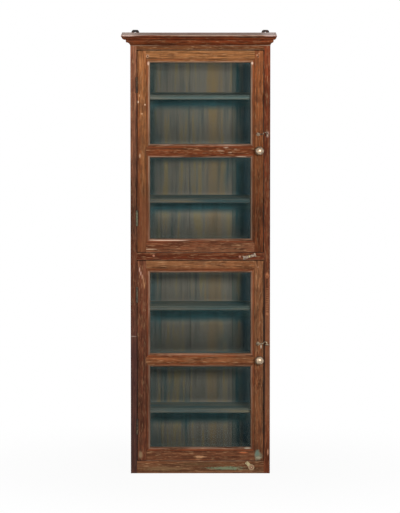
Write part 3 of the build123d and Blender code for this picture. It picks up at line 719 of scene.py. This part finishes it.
def dress(node: str, finish: Finish, facing: Facing | None = None) -> str:
    """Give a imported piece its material, on all of it or on some of its faces.

    Args:
        node: The piece's name.
        finish: Its finish.
        facing: Picks the faces that take this finish from their middle and normal, for a second
            finish over the first.

    Returns:
        The piece's name.
    """
    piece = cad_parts[node]
    faces = piece.data.polygons
    low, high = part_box(node)
    kind = type(finish).__name__
    material = finish.make(f"{kind}_{node}" + ("_inside" if facing else ""), low, high)
    if facing is None:
        piece.data.materials.clear()
        piece.data.materials.append(material)
        faces.foreach_set("material_index", [0] * len(faces))
        return piece.name
    piece.data.materials.append(material)
    slot = len(piece.data.materials) - 1
    for face in faces:
        if facing(face.center, face.normal):
            face.material_index = slot
    return piece.name


def placed(name: str, shape: bmesh.types.BMesh) -> bpy.types.Object:
    """Turn a shape to an object in the scene.

    Args:
        name: The object's name.
        shape: Its shape, which is freed.

    Returns:
        The object.
    """
    mesh = bpy.data.meshes.new(name)
    shape.to_mesh(mesh)
    shape.free()
    thing = bpy.data.objects.new(name, mesh)
    bpy.context.scene.collection.objects.link(thing)
    return thing


@dataclass(frozen=True)
class Head:
    """The round head of a peg, nail or screw, standing a little proud of the wood or metal."""

    radius: float
    rise: float
    rounding: float
    slot: float = 0.0
    sides: int = 20
    sunk: float = 1.0 * MM

    FLAT: ClassVar[float] = 0.95  # faces that look further out than this stay flat
    DOMED: ClassVar[float] = 0.3  # faces that look further out than this are slotted
    SLOT_DEPTH: ClassVar[float] = 0.6  # as a share of the rise

    def add_to(
        self, target: bmesh.types.BMesh, place: Vector, outward: Vector, turn: float
    ) -> None:
        """Build one head and add it to a mesh.

        Args:
            target: The mesh that gathers the heads.
            place: The middle of the head on the surface.
            outward: The way it faces.
            turn: How far its slot is turned, in radians.
        """
        shape = bmesh.new()
        bmesh.ops.create_circle(shape, cap_ends=True, segments=self.sides, radius=self.radius)
        bmesh.ops.translate(shape, verts=shape.verts, vec=(0, 0, -self.sunk))
        grown = bmesh.ops.extrude_face_region(shape, geom=shape.faces[:])["geom"]
        top = [v for v in grown if isinstance(v, bmesh.types.BMVert)]
        bmesh.ops.translate(shape, verts=top, vec=(0, 0, self.sunk + self.rise))
        rim = [e for e in shape.edges if all(v.co.z > 0 for v in e.verts)]
        rounded = {"affect": "EDGES", "segments": 3, "profile": 0.5, "material": -1}
        bmesh.ops.bevel(shape, geom=rim, offset=self.rounding, **rounded)
        if self.slot:
            self._cut_slot(shape)
        bmesh.ops.recalc_face_normals(shape, faces=shape.faces)
        for face in shape.faces:
            face.smooth = abs(face.normal.z) < self.FLAT
        turned = Matrix.Rotation(turn, 4, "Z")
        aimed = outward.to_track_quat("Z", "Y").to_matrix().to_4x4()
        seat = Matrix.Translation(place) @ aimed @ turned
        bmesh.ops.transform(shape, matrix=seat, verts=shape.verts)
        gathered = bpy.data.meshes.new("head")
        shape.to_mesh(gathered)
        shape.free()
        target.from_mesh(gathered)
        bpy.data.meshes.remove(gathered)

    def _cut_slot(self, shape: bmesh.types.BMesh) -> None:
        """Sink a driver's slot across the head."""
        half = self.slot / 2
        for side in (-half, half):
            everything = shape.verts[:] + shape.edges[:] + shape.faces[:]
            cut = {"plane_co": (side, 0, 0), "plane_no": (1, 0, 0)}
            bmesh.ops.bisect_plane(shape, geom=everything, **cut)
        domed = [f for f in shape.faces if f.normal.z > self.DOMED]
        strip = [f for f in domed if abs(f.calc_center_median().x) < half]
        sunk = bmesh.ops.extrude_face_region(shape, geom=strip)["geom"]
        bmesh.ops.delete(shape, geom=strip, context="FACES")
        floor = [v for v in sunk if isinstance(v, bmesh.types.BMVert)]
        bmesh.ops.translate(shape, verts=floor, vec=(0, 0, -self.rise * self.SLOT_DEPTH))


@dataclass(frozen=True)
class Spot:
    """Where a head sits and which way it faces."""

    place: tuple[float, float, float]
    outward: tuple[float, float, float] = (0.0, -1.0, 0.0)
    turn: float = 0.0


def fixings(
    name: str, head: Head, spots: Iterable[Spot], finish: Finish, body: str
) -> str:
    """Build a set of like heads as one piece and let it ride on a body.

    Args:
        name: The piece's name.
        head: The head they share.
        spots: Where they go.
        finish: Their finish.
        body: The body they move with.

    Returns:
        The piece's name.
    """
    shape = bmesh.new()
    for spot in spots:
        head.add_to(shape, Vector(spot.place), Vector(spot.outward), spot.turn)
    corners = [v.co for v in shape.verts]
    low, high = (Vector(pick(c[i] for c in corners) for i in range(3)) for pick in (min, max))
    piece = placed(name, shape)
    piece.data.materials.append(finish.make(f"{type(finish).__name__}_{name}", low, high))
    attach(piece, body)
    return name


@dataclass
class Studio:
    """A pale floor, a white surround, two soft lamps and the camera."""

    target: tuple[float, float, float] = (-0.001, FRONT, 0.6196)
    distance: float = 12.0
    elevation: float = 5.5
    lens: float = 297.45
    ambient: float = 0.34
    key_power: float = 235.0
    key_angles: tuple[float, float] = (15.0, 13.0)
    key_size: tuple[float, float] = (1.2, 0.9)
    fill_power: float = 60.0
    fill_angles: tuple[float, float] = (-35.0, 12.0)
    fill_size: tuple[float, float] = (2.4, 2.4)
    lamp_distance: float = 6.0
    floor_size: float = 60.0
    floor_drop: float = 0.2 * MM

    def build(self) -> list[str]:
        """Set up the camera, the lamps, the world and the floor.

        Returns:
            The names of the things made.
        """
        return [
            self._camera(),
            self._lamp("key_softbox", self.key_angles, self.key_power, self.key_size),
            self._lamp("fill_softbox", self.fill_angles, self.fill_power, self.fill_size),
            self._world(),
            self._floor(),
        ]

    def _hang(
        self, name: str, data: bpy.types.ID, azimuth: float, elevation: float, distance: float
    ) -> bpy.types.Object:
        """Place a lamp or camera at its angles and point it at the target.

        Args:
            name: The object's name.
            data: The lamp or camera.
            azimuth: How far it is turned to the right of the front, in degrees.
            elevation: How high it is seen from the target, in degrees.
            distance: How far from the target it is.

        Returns:
            The object.
        """
        a, e = math.radians(azimuth), math.radians(elevation)
        away = Vector((math.sin(a) * math.cos(e), -math.cos(a) * math.cos(e), math.sin(e)))
        thing = bpy.data.objects.new(name, data)
        bpy.context.scene.collection.objects.link(thing)
        thing.location = seat = Vector(self.target) + away * distance
        thing.rotation_euler = (Vector(self.target) - seat).to_track_quat("-Z", "Y").to_euler()
        return thing

    def _camera(self) -> str:
        """Make the scene's camera, set the plain view transform and return the camera's name."""
        data = bpy.data.cameras.new("camera")
        data.sensor_width, data.lens = 36.0, self.lens
        data.clip_end = 100.0
        camera = self._hang("camera", data, 0.0, self.elevation, self.distance)
        bpy.context.scene.camera = camera
        bpy.context.scene.view_settings.view_transform = "Standard"
        return camera.name

    def _lamp(
        self, name: str, angles: tuple[float, float], power: float, size: tuple[float, float]
    ) -> str:
        """Hang one softbox.

        Args:
            name: The lamp's name.
            angles: Its azimuth and elevation seen from the target, in degrees.
            power: Its power in watts.
            size: Its width and height.

        Returns:
            The lamp's name.
        """
        data = bpy.data.lights.new(name, "AREA")
        data.shape, data.size, data.size_y, data.energy = "RECTANGLE", *size, power
        lamp = self._hang(name, data, *angles, self.lamp_distance)
        lamp.visible_camera = False
        return lamp.name

    def _world(self) -> str:
        """Make the even surround, seen as white, and return its name."""
        world = bpy.data.worlds.new("white_surround")
        world.use_nodes = True
        world.node_tree.nodes.clear()
        on, white = Bench(world.node_tree), (1.0, 1.0, 1.0, 1.0)
        soft = on.add("Background", {"Color": white, "Strength": self.ambient})[0]
        bright = on.add("Background", {"Color": white, "Strength": 1.0})[0]
        both = on.add("MixShader", (seen(on), soft, bright))[0]
        on.add("OutputWorld", {"Surface": both})
        bpy.context.scene.world = world
        return world.name

    def _floor(self) -> str:
        """Lay the pale floor, which keeps a faint shadow, and return its name."""
        shape = bmesh.new()
        bmesh.ops.create_grid(shape, x_segments=1, y_segments=1, size=self.floor_size)
        bmesh.ops.translate(shape, verts=shape.verts, vec=(0, 0, -self.floor_drop))
        floor = placed("floor", shape)
        floor.data.materials.append(WhitePaper().make("matt_white_paper", Vector(), Vector()))
        return floor.name


def fading(*greys: float) -> HeightShade:
    """Return a board's change of tone from the case's top to its foot, at even heights."""
    top, step = 1.166, 0.102
    steps = tuple((top - step * i, grey) for i, grey in enumerate(greys))
    return HeightShade(0.0, CASE_TOP, steps[::-1])


# Painted shade along the arrises of the sides and stiles, for the dark line of the gaps beside
# them.
SHADED_ARRIS = "#35190d"
# Pale patches on the top of the crown at both ends.
PALE_CORNERS = (
    Patch(-0.205, 1.2478, 0.070, 0.0105, "#dcc0b2", 0.9, 0.5, depth=0.0),
    Patch(0.198, 1.2478, 0.060, 0.0105, "#e0c8bf", 0.9, 0.5, depth=0.0),
)


def carcass_boards() -> dict[str, AgedTeak]:
    """Return the teak of the sides, boards and front rails by the piece's name."""
    sides = {"rubbed": 0.35, "arris": SHADED_ARRIS}
    left_fade = fading(1.00, 0.82, 0.69, 0.60, 0.43, 0.46, 0.44, 0.50, 0.33, 0.27, 0.25, 0.24)
    right_fade = fading(1.00, 0.77, 0.70, 0.73, 0.65, 0.71, 0.68, 0.86, 0.75, 0.70, 0.84, 0.68)
    left_marks = (
        Patch(-0.19, 0.22, 0.2, 0.7, "#4a3236", 0.25, 0.3),
        Patch(-0.190, 0.392, 0.024, 0.003, "#a58f82", 0.6, 0.3, depth=8 * MM),
    )
    curls = (0.528 - 0.0062 * curl for curl in range(11))
    right_marks = (
        Patch(0.1893, 0.966, 0.012, 0.022, "#c0a294", 0.5, 0.7, depth=8 * MM),
        Patch(0.189, 0.33, 0.2, 0.56, "#7e5238", 0.5, 0.5),
        Patch(0.1917, 0.061, 0.006, 0.026, "#c08a6a", 0.6, 0.6, depth=8 * MM),
        *(Patch(0.1894, z, 0.011, 0.003, "#a8714d", 0.45, 0.7, depth=8 * MM) for z in curls),
        Patch(0.1890, 0.5657, 0.011, 0.022, "#b8754e", 0.65, 0.5, depth=8 * MM),
        Patch(0.1888, 0.5630, 0.0055, 0.011, "#57290f", 0.8, 0.3, depth=8 * MM),
        Patch(0.1894, 0.4560, 0.010, 0.012, "#ad7450", 0.55, 0.5, depth=8 * MM),
        # Painted shade: a near-black strip down the inner edge of the front face, for the shadow in
        # the gap beside the lower door.
        Patch(0.1795, 0.323, 0.0115, 0.70, "#120704", 0.97, 0.03, square=True),
    )
    smears = (
        Patch(0.070, 0.0145, 0.15, 0.014, "#6f8468", 0.7, 1.5),
        Patch(-0.110, 0.012, 0.16, 0.018, "#846c4c", 0.4, 1.5),
        Patch(0.010, 0.026, 0.20, 0.010, "#4a3a22", 0.5, 1.5),
    )
    left = {"bands": left_fade, "behind": 0.4, "patches": left_marks}
    right = {"bands": right_fade, "behind": 0.6, "patches": right_marks}
    top = {"dust_tone": "#a88e82", "patches": PALE_CORNERS}
    return {
        "left_side_board": AgedTeak("#815038", Grain.UP, 1.0, **sides, **left),
        "right_side_board": AgedTeak("#743a1e", Grain.UP, 2.0, **sides, **right),
        "top_board": AgedTeak("#8d6650", Grain.ACROSS, 3.0, **top),
        "middle_board": AgedTeak("#6b4a34", Grain.ACROSS, 4.0),
        "bottom_board": AgedTeak("#6b4a34", Grain.ACROSS, 5.0),
        "base_rail": AgedTeak("#624029", Grain.ACROSS, 6.0, grime=0.3, patches=smears),
        "divider_rail": AgedTeak("#57280f", Grain.ACROSS, 7.0),
        "frieze_rail": AgedTeak("#63391b", Grain.ACROSS, 8.0),
    }


@dataclass
class Carcass:
    """The joined box: sides, boards, front rails, shelves and the vertical back boards.

    Each bay's top is the underside of what covers it. Its greys are painted shade and light: how
    dark its back is at four depths under that. Its kept depth is how far down the paint is whole.
    """

    inside: float = 180 * MM
    lined: float = -68 * MM  # the sides are painted from here back
    bay_tops: tuple[float, ...] = (0.1697, 0.3165, 0.4632, 0.6050, 0.7692, 0.9160, 1.0627, 1.2050)
    # Greys of painted shade and light on the compartments' backs, at the four depths below each
    # top.
    bay_foot: tuple[float, ...] = (0.19, 0.33, 0.23, 0.48, 0.22, 0.50, 0.37, 0.62)
    bay_light: tuple[float, ...] = (0.48, 0.486, 0.454, 0.74, 0.576, 0.565, 0.59, 0.637)
    bay_head: tuple[float, ...] = (1.1, 0.68, 0.95, 1.2, 0.95, 1.15, 0.64, 1.25)
    bay_crown: tuple[float, ...] = (1.8, 0.85, 1.7, 1.2, 1.4, 1.2, 0.85, 1.25)
    bay_depths: tuple[float, ...] = (0.124, 0.060, 0.032, 0.022)
    bay_kept: tuple[float, ...] = (0.054, 0.044, 0.054, 0.0, 0.045, 0.044, 0.041, 0.0)
    kept_fade: float = 0.018
    kept_edge: float = 0.001
    nail: Head = Head(3.4 * MM, 0.35 * MM, 0.3 * MM)
    back_nail: Head = Head(2.6 * MM, 0.5 * MM, 0.35 * MM, sides=12)

    def build(self) -> list[str]:
        """Dress the boards and set the nails.

        Returns:
            The names of its pieces.
        """
        names = [dress(node, finish) for node, finish in carcass_boards().items()]
        names += self._paint_inside() + self._back_boards() + self._shelves()
        return [*names, self._divider_nails(), self._back_nails()]

    def _paint_inside(self) -> list[str]:
        """Paint the faces that line the compartments and return what was painted."""
        coat = WornPaint(Grain.UP, 11.0, bare=0.25, front=-66 * MM)
        flat = WornPaint(Grain.ACROSS, 12.0, bare=0.35)
        lining: dict[str, tuple[WornPaint, Facing]] = {
            "left_side_board": (coat, lambda c, n: n.x > 0.9 and c.y > self.lined),
            "right_side_board": (coat, lambda c, n: n.x < -0.9 and c.y > self.lined),
            "top_board": (flat, lambda c, n: n.z < -0.9 and abs(c.x) < self.inside + 30 * MM),
            "middle_board": (flat, lambda c, n: abs(n.z) > 0.9),
            "bottom_board": (flat, lambda c, n: n.z > 0.9),
            "base_rail": (flat, lambda c, n: n.y > 0.9),
            "divider_rail": (flat, lambda c, n: n.y > 0.9),
            "frieze_rail": (flat, lambda c, n: n.y > 0.9),
        }
        for node, which in lining.items():
            dress(node, *which)
        return [f"paint inside {node}" for node in lining]

    def _painted_light_and_shade(self) -> HeightShade:
        """Return the painted shade and light on each compartment's back, darkest towards its foot.
        """
        steps: list[tuple[float, float]] = []
        greys = zip(self.bay_foot, self.bay_light, self.bay_head, self.bay_crown, strict=True)
        for top, bay in zip(self.bay_tops, greys, strict=True):
            steps += [(top - depth, grey) for depth, grey in zip(self.bay_depths, bay, strict=True)]
        return HeightShade(0.0, CASE_TOP, tuple(steps))

    def _kept_paint(self) -> HeightShade:
        """Return the bands of whole paint in the shelter of each shelf."""
        steps: list[tuple[float, float]] = []
        for top, deep in zip(self.bay_tops, self.bay_kept, strict=True):
            if deep:
                steps += [(top - deep, 0.0), (top - deep + self.kept_fade, 1.0)]
                steps += [(top - self.kept_edge, 1.0), (top, 0.0)]
        return HeightShade(0.0, CASE_TOP, tuple(steps))

    def _back_boards(self) -> list[str]:
        """Dress the back boards, raw outside and painted inside, and return their names."""
        strip = {"square": True, "depth": 0.0}
        sun = Patch(0.04, 0.75, 0.06, 2.4, "#a98860", 0.55, depth=0.0)
        # The left strips are teal paint kept by the side board, darkest at the edge as painted
        # shade in that corner.
        left = (
            Patch(-0.165, 0.92, 0.105, 0.66, "#35555a", 0.95, 0.3, **strip),
            Patch(-0.165, 0.28, 0.080, 0.70, "#35555a", 0.75, 0.3, **strip),
            Patch(-0.143, 0.92, 0.030, 0.66, "#243c40", 0.7, 0.3, **strip),
        )
        right = (
            Patch(0.094, 0.62, 0.026, 2.6, "#8c8779", 0.6, 0.5, **strip),
            Patch(0.140, 0.62, 0.052, 2.6, "#2d6c84", 0.85, 0.3, **strip),
        )
        seeds, bareness = (21.0, 22.0, 23.5, 24.0), (0.85, 1.0, 1.1, 0.30)
        each = zip(seeds, bareness, (left, (), (sun,), right), strict=True)
        both = {"bands": self._painted_light_and_shade(), "kept": self._kept_paint(), "film": "#3c4644"}
        names = []
        for index, (seed, bare, patches) in enumerate(each, 1):
            node = f"back_board_{index}"
            dress(node, AgedTeak("#7a6653", Grain.UP, 30.0 + index, rubbed=0.25, grime=0.7))
            soft = {"bare": bare, "patches": patches, "streak": 15 * MM, "detail": 1.5}
            coat = WornPaint(Grain.UP, seed, **soft, **both)
            names.append(dress(node, coat, lambda c, n: n.y < -0.5))
        return names

    def _shelves(self) -> list[str]:
        """Dress the six shelves and return their names."""
        films = ("#646761", "#5c605b", "#5e625a", "#565c58", "#5c605b", "#666a60")
        levels = [z for z, kept in zip(self.bay_tops, self.bay_kept, strict=True) if kept]
        greys = (0.62, 0.6, 0.60, 0.52, 0.6, 0.92)
        names = []
        for i, (film, under, grey) in enumerate(zip(films, levels, greys, strict=True), 1):
            # Painted shade: the upper part of each shelf's front edge is darker than its lower
            # part, which reads as a pale lower arris; the grey darkens the shelf's lower face and
            # edge as a whole.
            steps = ((0.0, grey * 0.8), (3.0, grey), (6.5, grey), (9.0, grey * 0.6), (12.0, 1.0))
            bands = tuple((under + rise * MM, shade) for rise, shade in steps)
            worn = HeightShade(under - 2 * MM, under + 16 * MM, bands, wander=1.5 * MM)
            coat = WornPaint(
                Grain.ACROSS, 40.0 + i, bare=0.45, film=film, worn_edge=9 * MM, bands=worn
            )
            names.append(dress(f"shelf_{i}", coat))
        return names

    def _divider_nails(self) -> str:
        """Set the two filled nails in the divider rail and return their name."""
        spots = (Spot((-0.132, FRONT, 0.6218)), Spot((0.1118, FRONT, 0.6190)))
        filler = AgedTeak("#976b5a", Grain.DEEP, 51.0, grime=0.1)
        return fixings("divider_nails", self.nail, spots, filler, "carcass")

    def _back_nails(self) -> str:
        """Nail the back boards to the shelves and rails and return the nails' name."""
        rows = (0.009, 0.1757, 0.3225, 0.4692, 0.621, 0.7752, 0.922, 1.0687, 1.2155)
        columns = (-0.165, -0.124, -0.096, -0.045, -0.010, 0.070, 0.112, 0.165)
        spots = [
            Spot((x + 0.0015 * math.sin(z * 90 + x * 70), BACK, z), (0.0, 1.0, 0.0))
            for z in rows
            for x in columns
        ]
        return fixings("back_nails", self.back_nail, spots, BlackIron(seed=3.0), "carcass")


@dataclass
class Cornice:
    """The moulding mitred round the front and both sides."""

    foot: float = 1.214
    head: float = 1.248
    # Painted shade: greys by height that darken the coves, grooves and lower face of the cornice,
    # with full tone on the fillets and crown.
    lines: tuple[tuple[float, float], ...] = (
        *((1.2160, 0.50), (1.2185, 0.42), (1.2215, 0.50), (1.2240, 1.0)),
        *((1.2265, 0.90), (1.2300, 1.0), (1.2323, 0.62), (1.2345, 0.75)),
        *((1.2375, 0.97), (1.2405, 0.36), (1.2430, 0.36), (1.2448, 1.0)),
    )

    def build(self) -> list[str]:
        """Dress the three lengths and return their names."""
        bands = HeightShade(self.foot, self.head, self.lines)
        worn = {"rubbed": 0.9, "arris": "#c4a086", "dust_tone": "#b2968a", "patches": PALE_CORNERS}
        lengths = (
            ("cornice_front", "#733616", Grain.ACROSS, 61.0),
            ("cornice_left", "#8a5f48", Grain.DEEP, 62.0),
            ("cornice_right", "#8a5f48", Grain.DEEP, 63.0),
        )
        return [dress(node, AgedTeak(*wood, bands=bands, **worn)) for node, *wood in lengths]


@dataclass
class GlazedDoor:
    """One glazed door with its joinery, panes, hinges, knob and hook."""

    tier: Tier
    stiles: tuple[AgedTeak, AgedTeak]
    rails: tuple[AgedTeak, AgedTeak, AgedTeak]
    pegs: tuple[Spot, ...]
    knob: AgedBrass
    hinges: tuple[AgedBrass, AgedBrass]
    hinge_heights: tuple[float, float]
    hook: AgedBrass
    peg_tone: str
    leaf_faces: tuple[float, float] = (-0.1795, -0.1790)
    screw_depth: float = -0.0785
    screw_rise: float = 13 * MM
    peg: Head = Head(2.4 * MM, 0.25 * MM, 0.15 * MM, sides=10)
    screw: Head = Head(2.6 * MM, 0.14 * MM, 0.1 * MM, slot=0.7 * MM, sides=16)

    def build(self) -> list[str]:
        """Dress the door's pieces and set its pegs and screws.

        Returns:
            The names of its pieces.
        """
        beads = AgedTeak("#6b4632", Grain.UP, 70.0, rubbed=0.3)
        panes = [WindowGlass(seed=1.7 * index + len(self.tier.value)) for index in (0, 1)]
        finishes = {
            "hinge_stile": self.stiles[0],
            "latch_stile": self.stiles[1],
            "door_bottom_rail": self.rails[0],
            "door_middle_rail": self.rails[1],
            "door_top_rail": self.rails[2],
            "glazing_beads": beads,
            "door_lower_glass": panes[0],
            "door_upper_glass": panes[1],
            "knob": self.knob,
            "hook": self.hook,
            "hook_pivot": self.hook,
            "hook_staple": self.hook,
        }
        names = [dress(f"{self.tier.value}_{part}", finish) for part, finish in finishes.items()]
        return [*names, *self._hinges(), self._pegs()]

    def _hinges(self) -> list[str]:
        """Dress the butt hinges, set their screws and return the pieces' names."""
        tier = self.tier.value
        names = []
        for part, finish in zip(("bottom", "top"), self.hinges, strict=True):
            for leaf in ("frame", "door"):
                names.append(dress(f"{tier}_{part}_hinge_{leaf}_leaf", finish))
        brass = AgedBrass(tarnish=0.7, seed=5.0)
        leaves = zip(("frame", "door"), ("carcass", f"{tier}_door"), (1.0, -1.0), strict=True)
        for x, (leaf, body, way) in zip(self.leaf_faces, leaves, strict=True):
            spots = [
                Spot((x, self.screw_depth, z + rise), (way, 0.0, 0.0), turn=0.7 * k + z * 9)
                for k, z in enumerate(self.hinge_heights)
                for rise in (-self.screw_rise, self.screw_rise)
            ]
            name = f"{tier}_hinge_{leaf}_screws"
            names.append(fixings(name, self.screw, spots, brass, body))
        return names

    def _pegs(self) -> str:
        """Drive the draw-bore pegs of the frame's joints and return their name."""
        door = f"{self.tier.value}_door"
        finish = AgedTeak(self.peg_tone, Grain.DEEP, 72.0, rubbed=0.6, grime=0.4)
        return fixings(f"{door}_pegs", self.peg, self.pegs, finish, door)


@dataclass
class TurnButtons:
    """The two turn buttons, their screws and the hinge pins."""

    rose: Patch = Patch(0.1453, 0.0175, 0.025, 0.025, "#7d5b49", 0.85, 0.2)
    middle: AgedBrass = AgedBrass("#8e7d6c", "#3f2f26", 0.85, 9.0)
    base: AgedBrass = AgedBrass("#a29471", "#54412f", 0.6, 10.0, (rose,))
    pins: AgedBrass = AgedBrass("#5a4a38", "#2a1c14", 0.8, 12.0)

    def build(self) -> list[str]:
        """Dress the buttons, their screws and the hinge pins and return their names."""
        finishes = {
            "middle_turn_button": self.middle,
            "base_turn_button": self.base,
            "button_screws": self.base,
            "hinge_pins": self.pins,
        }
        return [dress(node, finish) for node, finish in finishes.items()]


@dataclass
class WallHangers:
    """The two iron plates that the case hangs by."""

    iron: BlackIron = BlackIron(seed=1.0)

    def build(self) -> list[str]:
        """Dress the two plates and return their names."""
        return [dress(f"{side}_hanger", self.iron) for side in ("left", "right")]


def door_pegs(height: float, inset: float) -> tuple[Spot, ...]:
    """Place the pegs of a door's top joints.

    Args:
        height: Height of the row of pegs.
        inset: How far the hinge side's peg stands outside its usual place.

    Returns:
        The pegs' spots.
    """
    return (Spot((-0.1485 - inset, FRONT, height)), Spot((0.1630, FRONT, height - 0.002)))


def stile(heart: str, seed: float, inner: Edge, fade: HeightShade, **wear: object) -> AgedTeak:
    """Return the teak of a door's stile.

    Args:
        heart: Its colour.
        seed: Where its pattern starts.
        inner: The edge with the moulding.
        fade: Its change of tone from top to foot.
        **wear: Other fields of its finish.

    Returns:
        The finish.
    """
    common = {"arris": SHADED_ARRIS, "dust": 0.1, "beads": (inner,), "bands": fade}
    return AgedTeak(heart, Grain.UP, seed, **common, **wear)


def rail(heart: str, seed: float, inner: tuple[Edge, ...], wear: float, **more: object) -> AgedTeak:
    """Return the teak of a door's rail.

    Args:
        heart: Its colour.
        seed: Where its pattern starts.
        inner: The edges with the moulding.
        wear: How much of the moulding is rubbed pale, with a painted highlight.
        **more: Other fields of its finish.

    Returns:
        The finish.
    """
    common = {"dust": 0.1, "beads": inner, "bead_wear_and_highlight": wear, "bead_floor": 0.0}
    return AgedTeak(heart, Grain.ACROSS, seed, **(common | more))


BOTTOM, MIDDLE, TOP = (Edge.HEAD,), (Edge.HEAD, Edge.FOOT), (Edge.FOOT,)


def lower_door() -> GlazedDoor:
    """Return the lower door, the more worn of the two."""
    paint = (
        Patch(0.1645, 0.051, 0.030, 0.036, "#7b7762", 0.7, 1.0),
        Patch(0.1620, 0.0575, 0.016, 0.024, "#5c7064", 0.75, 1.2),
        Patch(0.1660, 0.0450, 0.020, 0.008, "#948f78", 0.7, 0.9),
        Patch(0.1722, 0.3640, 0.005, 0.018, "#c2b09a", 0.85, 0.4),
    )
    scratches = (
        Patch(-0.1722, 0.5818, 0.005, 0.020, "#c39c88", 0.8, 0.8),
        Patch(-0.1685, 0.5718, 0.005, 0.018, "#c09682", 0.8, 0.8),
        Patch(-0.1648, 0.5618, 0.005, 0.020, "#b88c72", 0.7, 0.8),
        Patch(-0.1620, 0.5490, 0.004, 0.022, "#a87a55", 0.6, 0.8),
        Patch(-0.1586, 0.5362, 0.004, 0.024, "#a87a50", 0.65, 0.8),
        Patch(-0.1700, 0.0530, 0.016, 0.026, "#8f7a5c", 0.55, 1.0),
    )
    foot = (
        Patch(-0.001, 0.0471, 0.050, 0.008, "#c09068", 0.75, 1.0),
        Patch(0.1220, 0.0594, 0.034, 0.006, "#b8683f", 0.75, 0.8),
        Patch(0.1340, 0.0715, 0.026, 0.006, "#a89a86", 0.8, 0.6),
    )
    sound = (1.0,) * 7
    left_fade = fading(*sound, 0.85, 0.64, 0.57, 0.60, 0.75)
    right_fade = fading(*sound, 0.87, 0.88, 0.80, 0.72, 0.6)
    left = {"rubbed": 0.5, "bead_wear_and_highlight": 0.5, "patches": scratches}
    right = {"rubbed": 0.2, "bead_wear_and_highlight": 0.45, "patches": paint}
    return GlazedDoor(
        Tier.LOWER,
        stiles=(
            stile("#6a3c27", 81.0, Edge.RIGHT, left_fade, **left),
            stile("#794d2f", 82.0, Edge.LEFT, right_fade, **right),
        ),
        rails=(
            rail("#603822", 83.0, BOTTOM, 0.3, patches=foot),
            rail("#7a4a2b", 84.0, MIDDLE, 0.3, underside=0.70),
            rail("#7e5131", 85.0, TOP, 0.4, underside=0.74, bead_floor=0.3),
        ),
        pegs=door_pegs(0.592, 0.004),
        knob=AgedBrass("#b09a82", "#5a4636", 0.62, 21.0),
        hinges=(
            AgedBrass("#5a4a38", "#2a1c14", 0.9, 22.0),
            AgedBrass("#574c3e", "#281c15", 0.8, 23.0),
        ),
        hinge_heights=(0.1335, 0.5105),
        hook=AgedBrass("#a08d74", "#382a1e", 0.75, 24.0),
        peg_tone="#7c5036",
    )


def upper_door() -> GlazedDoor:
    """Return the upper door."""
    ring = Patch(-0.1492, 1.1868, 0.014, 0.014, "#cfa283", 0.5, 0.4)
    nicks = (
        Patch(-0.1758, 1.0578, 0.0050, 0.009, "#ecc8a8", 0.9, 0.3),
        Patch(-0.1562, 1.0498, 0.0055, 0.007, "#d8b090", 0.8, 0.4),
        Patch(-0.1721, 1.0757, 0.0040, 0.012, "#c89a70", 0.7, 0.4),
        Patch(-0.1650, 1.0242, 0.0090, 0.006, "#cfa078", 0.7, 0.6),
        Patch(-0.1710, 0.9050, 0.0080, 0.016, "#c09878", 0.6, 0.6),
        Patch(-0.1465, 1.1660, 0.0080, 0.014, "#dcb8a0", 0.85, 0.3),
        Patch(-0.1600, 0.7000, 0.0500, 0.300, "#6e3c26", 0.45, 0.6),
        # Painted shade: a dark strip along the stile's outer edge, for the shadow in the gap beside
        # it.
        Patch(-0.1785, 0.9600, 0.0060, 0.560, "#380f03", 0.80, 0.2, square=True),
    )
    burrs = (
        Patch(0.1600, 1.1895, 0.0080, 0.008, "#c89c7c", 0.45, 0.4),
        Patch(0.1653, 1.1945, 0.0060, 0.006, "#c09070", 0.4, 0.4),
        Patch(0.1462, 1.1670, 0.0080, 0.011, "#f0d0b8", 0.85, 0.2),
    )
    bruises = (
        Patch(0.0727, 0.9288, 0.020, 0.0050, "#c8b098", 0.45, 1.3),
        Patch(0.0571, 0.9195, 0.024, 0.0045, "#b89c80", 0.40, 1.3),
        Patch(0.0840, 0.9146, 0.020, 0.0050, "#bca288", 0.40, 1.3),
        Patch(0.0990, 0.9240, 0.014, 0.0040, "#b89c80", 0.40, 1.3),
        Patch(0.1150, 0.9030, 0.044, 0.0040, "#cbb49c", 0.70, 1.1),
    )
    bead_line = (
        Patch(-0.0888, 0.6652, 0.135, 0.0040, "#d0b098", 0.85, 0.3, square=True),
        Patch(-0.1427, 0.6400, 0.050, 0.0040, "#c8a888", 0.75, 0.8),
    )
    left_fade = fading(1.0, 0.86, 0.74, 0.64, 0.49, 0.55, 0.50)
    right_fade = fading(1.0, 0.72, 0.66, 0.56, 0.42, 0.40, 0.46)
    return GlazedDoor(
        Tier.UPPER,
        stiles=(
            stile("#965f36", 91.0, Edge.RIGHT, left_fade, rubbed=0.5, patches=nicks),
            stile("#8f522a", 92.0, Edge.LEFT, right_fade, rubbed=0.5, patches=burrs),
        ),
        rails=(
            rail("#673e27", 93.0, BOTTOM, 0.3, patches=bead_line),
            rail("#6c3c1e", 94.0, MIDDLE, 0.65, underside=0.80, patches=bruises),
            rail("#915e35", 95.0, TOP, 0.55, patches=(ring,)),
        ),
        pegs=door_pegs(1.1869, 0.0),
        knob=AgedBrass("#b09a82", "#5a4636", 0.64, 31.0),
        hinges=(
            AgedBrass("#5f5c4a", "#2b2820", 0.75, 32.0),
            AgedBrass("#4a3626", "#22150e", 0.95, 33.0),
        ),
        hinge_heights=(0.7285, 1.1055),
        hook=AgedBrass("#8a7662", "#33241a", 0.85, 34.0),
        peg_tone="#3c1c10",
    )


def main() -> None:
    """Build the studio and the sub-assemblies in order."""
    logging.basicConfig(level=logging.INFO, format="%(name)s: %(message)s")
    doors = (lower_door(), upper_door())
    for part in (Studio(), Carcass(), Cornice(), *doors, TurnButtons(), WallHangers()):
        for name in part.build():
            LOG.info("%s: %s", type(part).__name__, name)


if __name__ == "__main__":
    main()
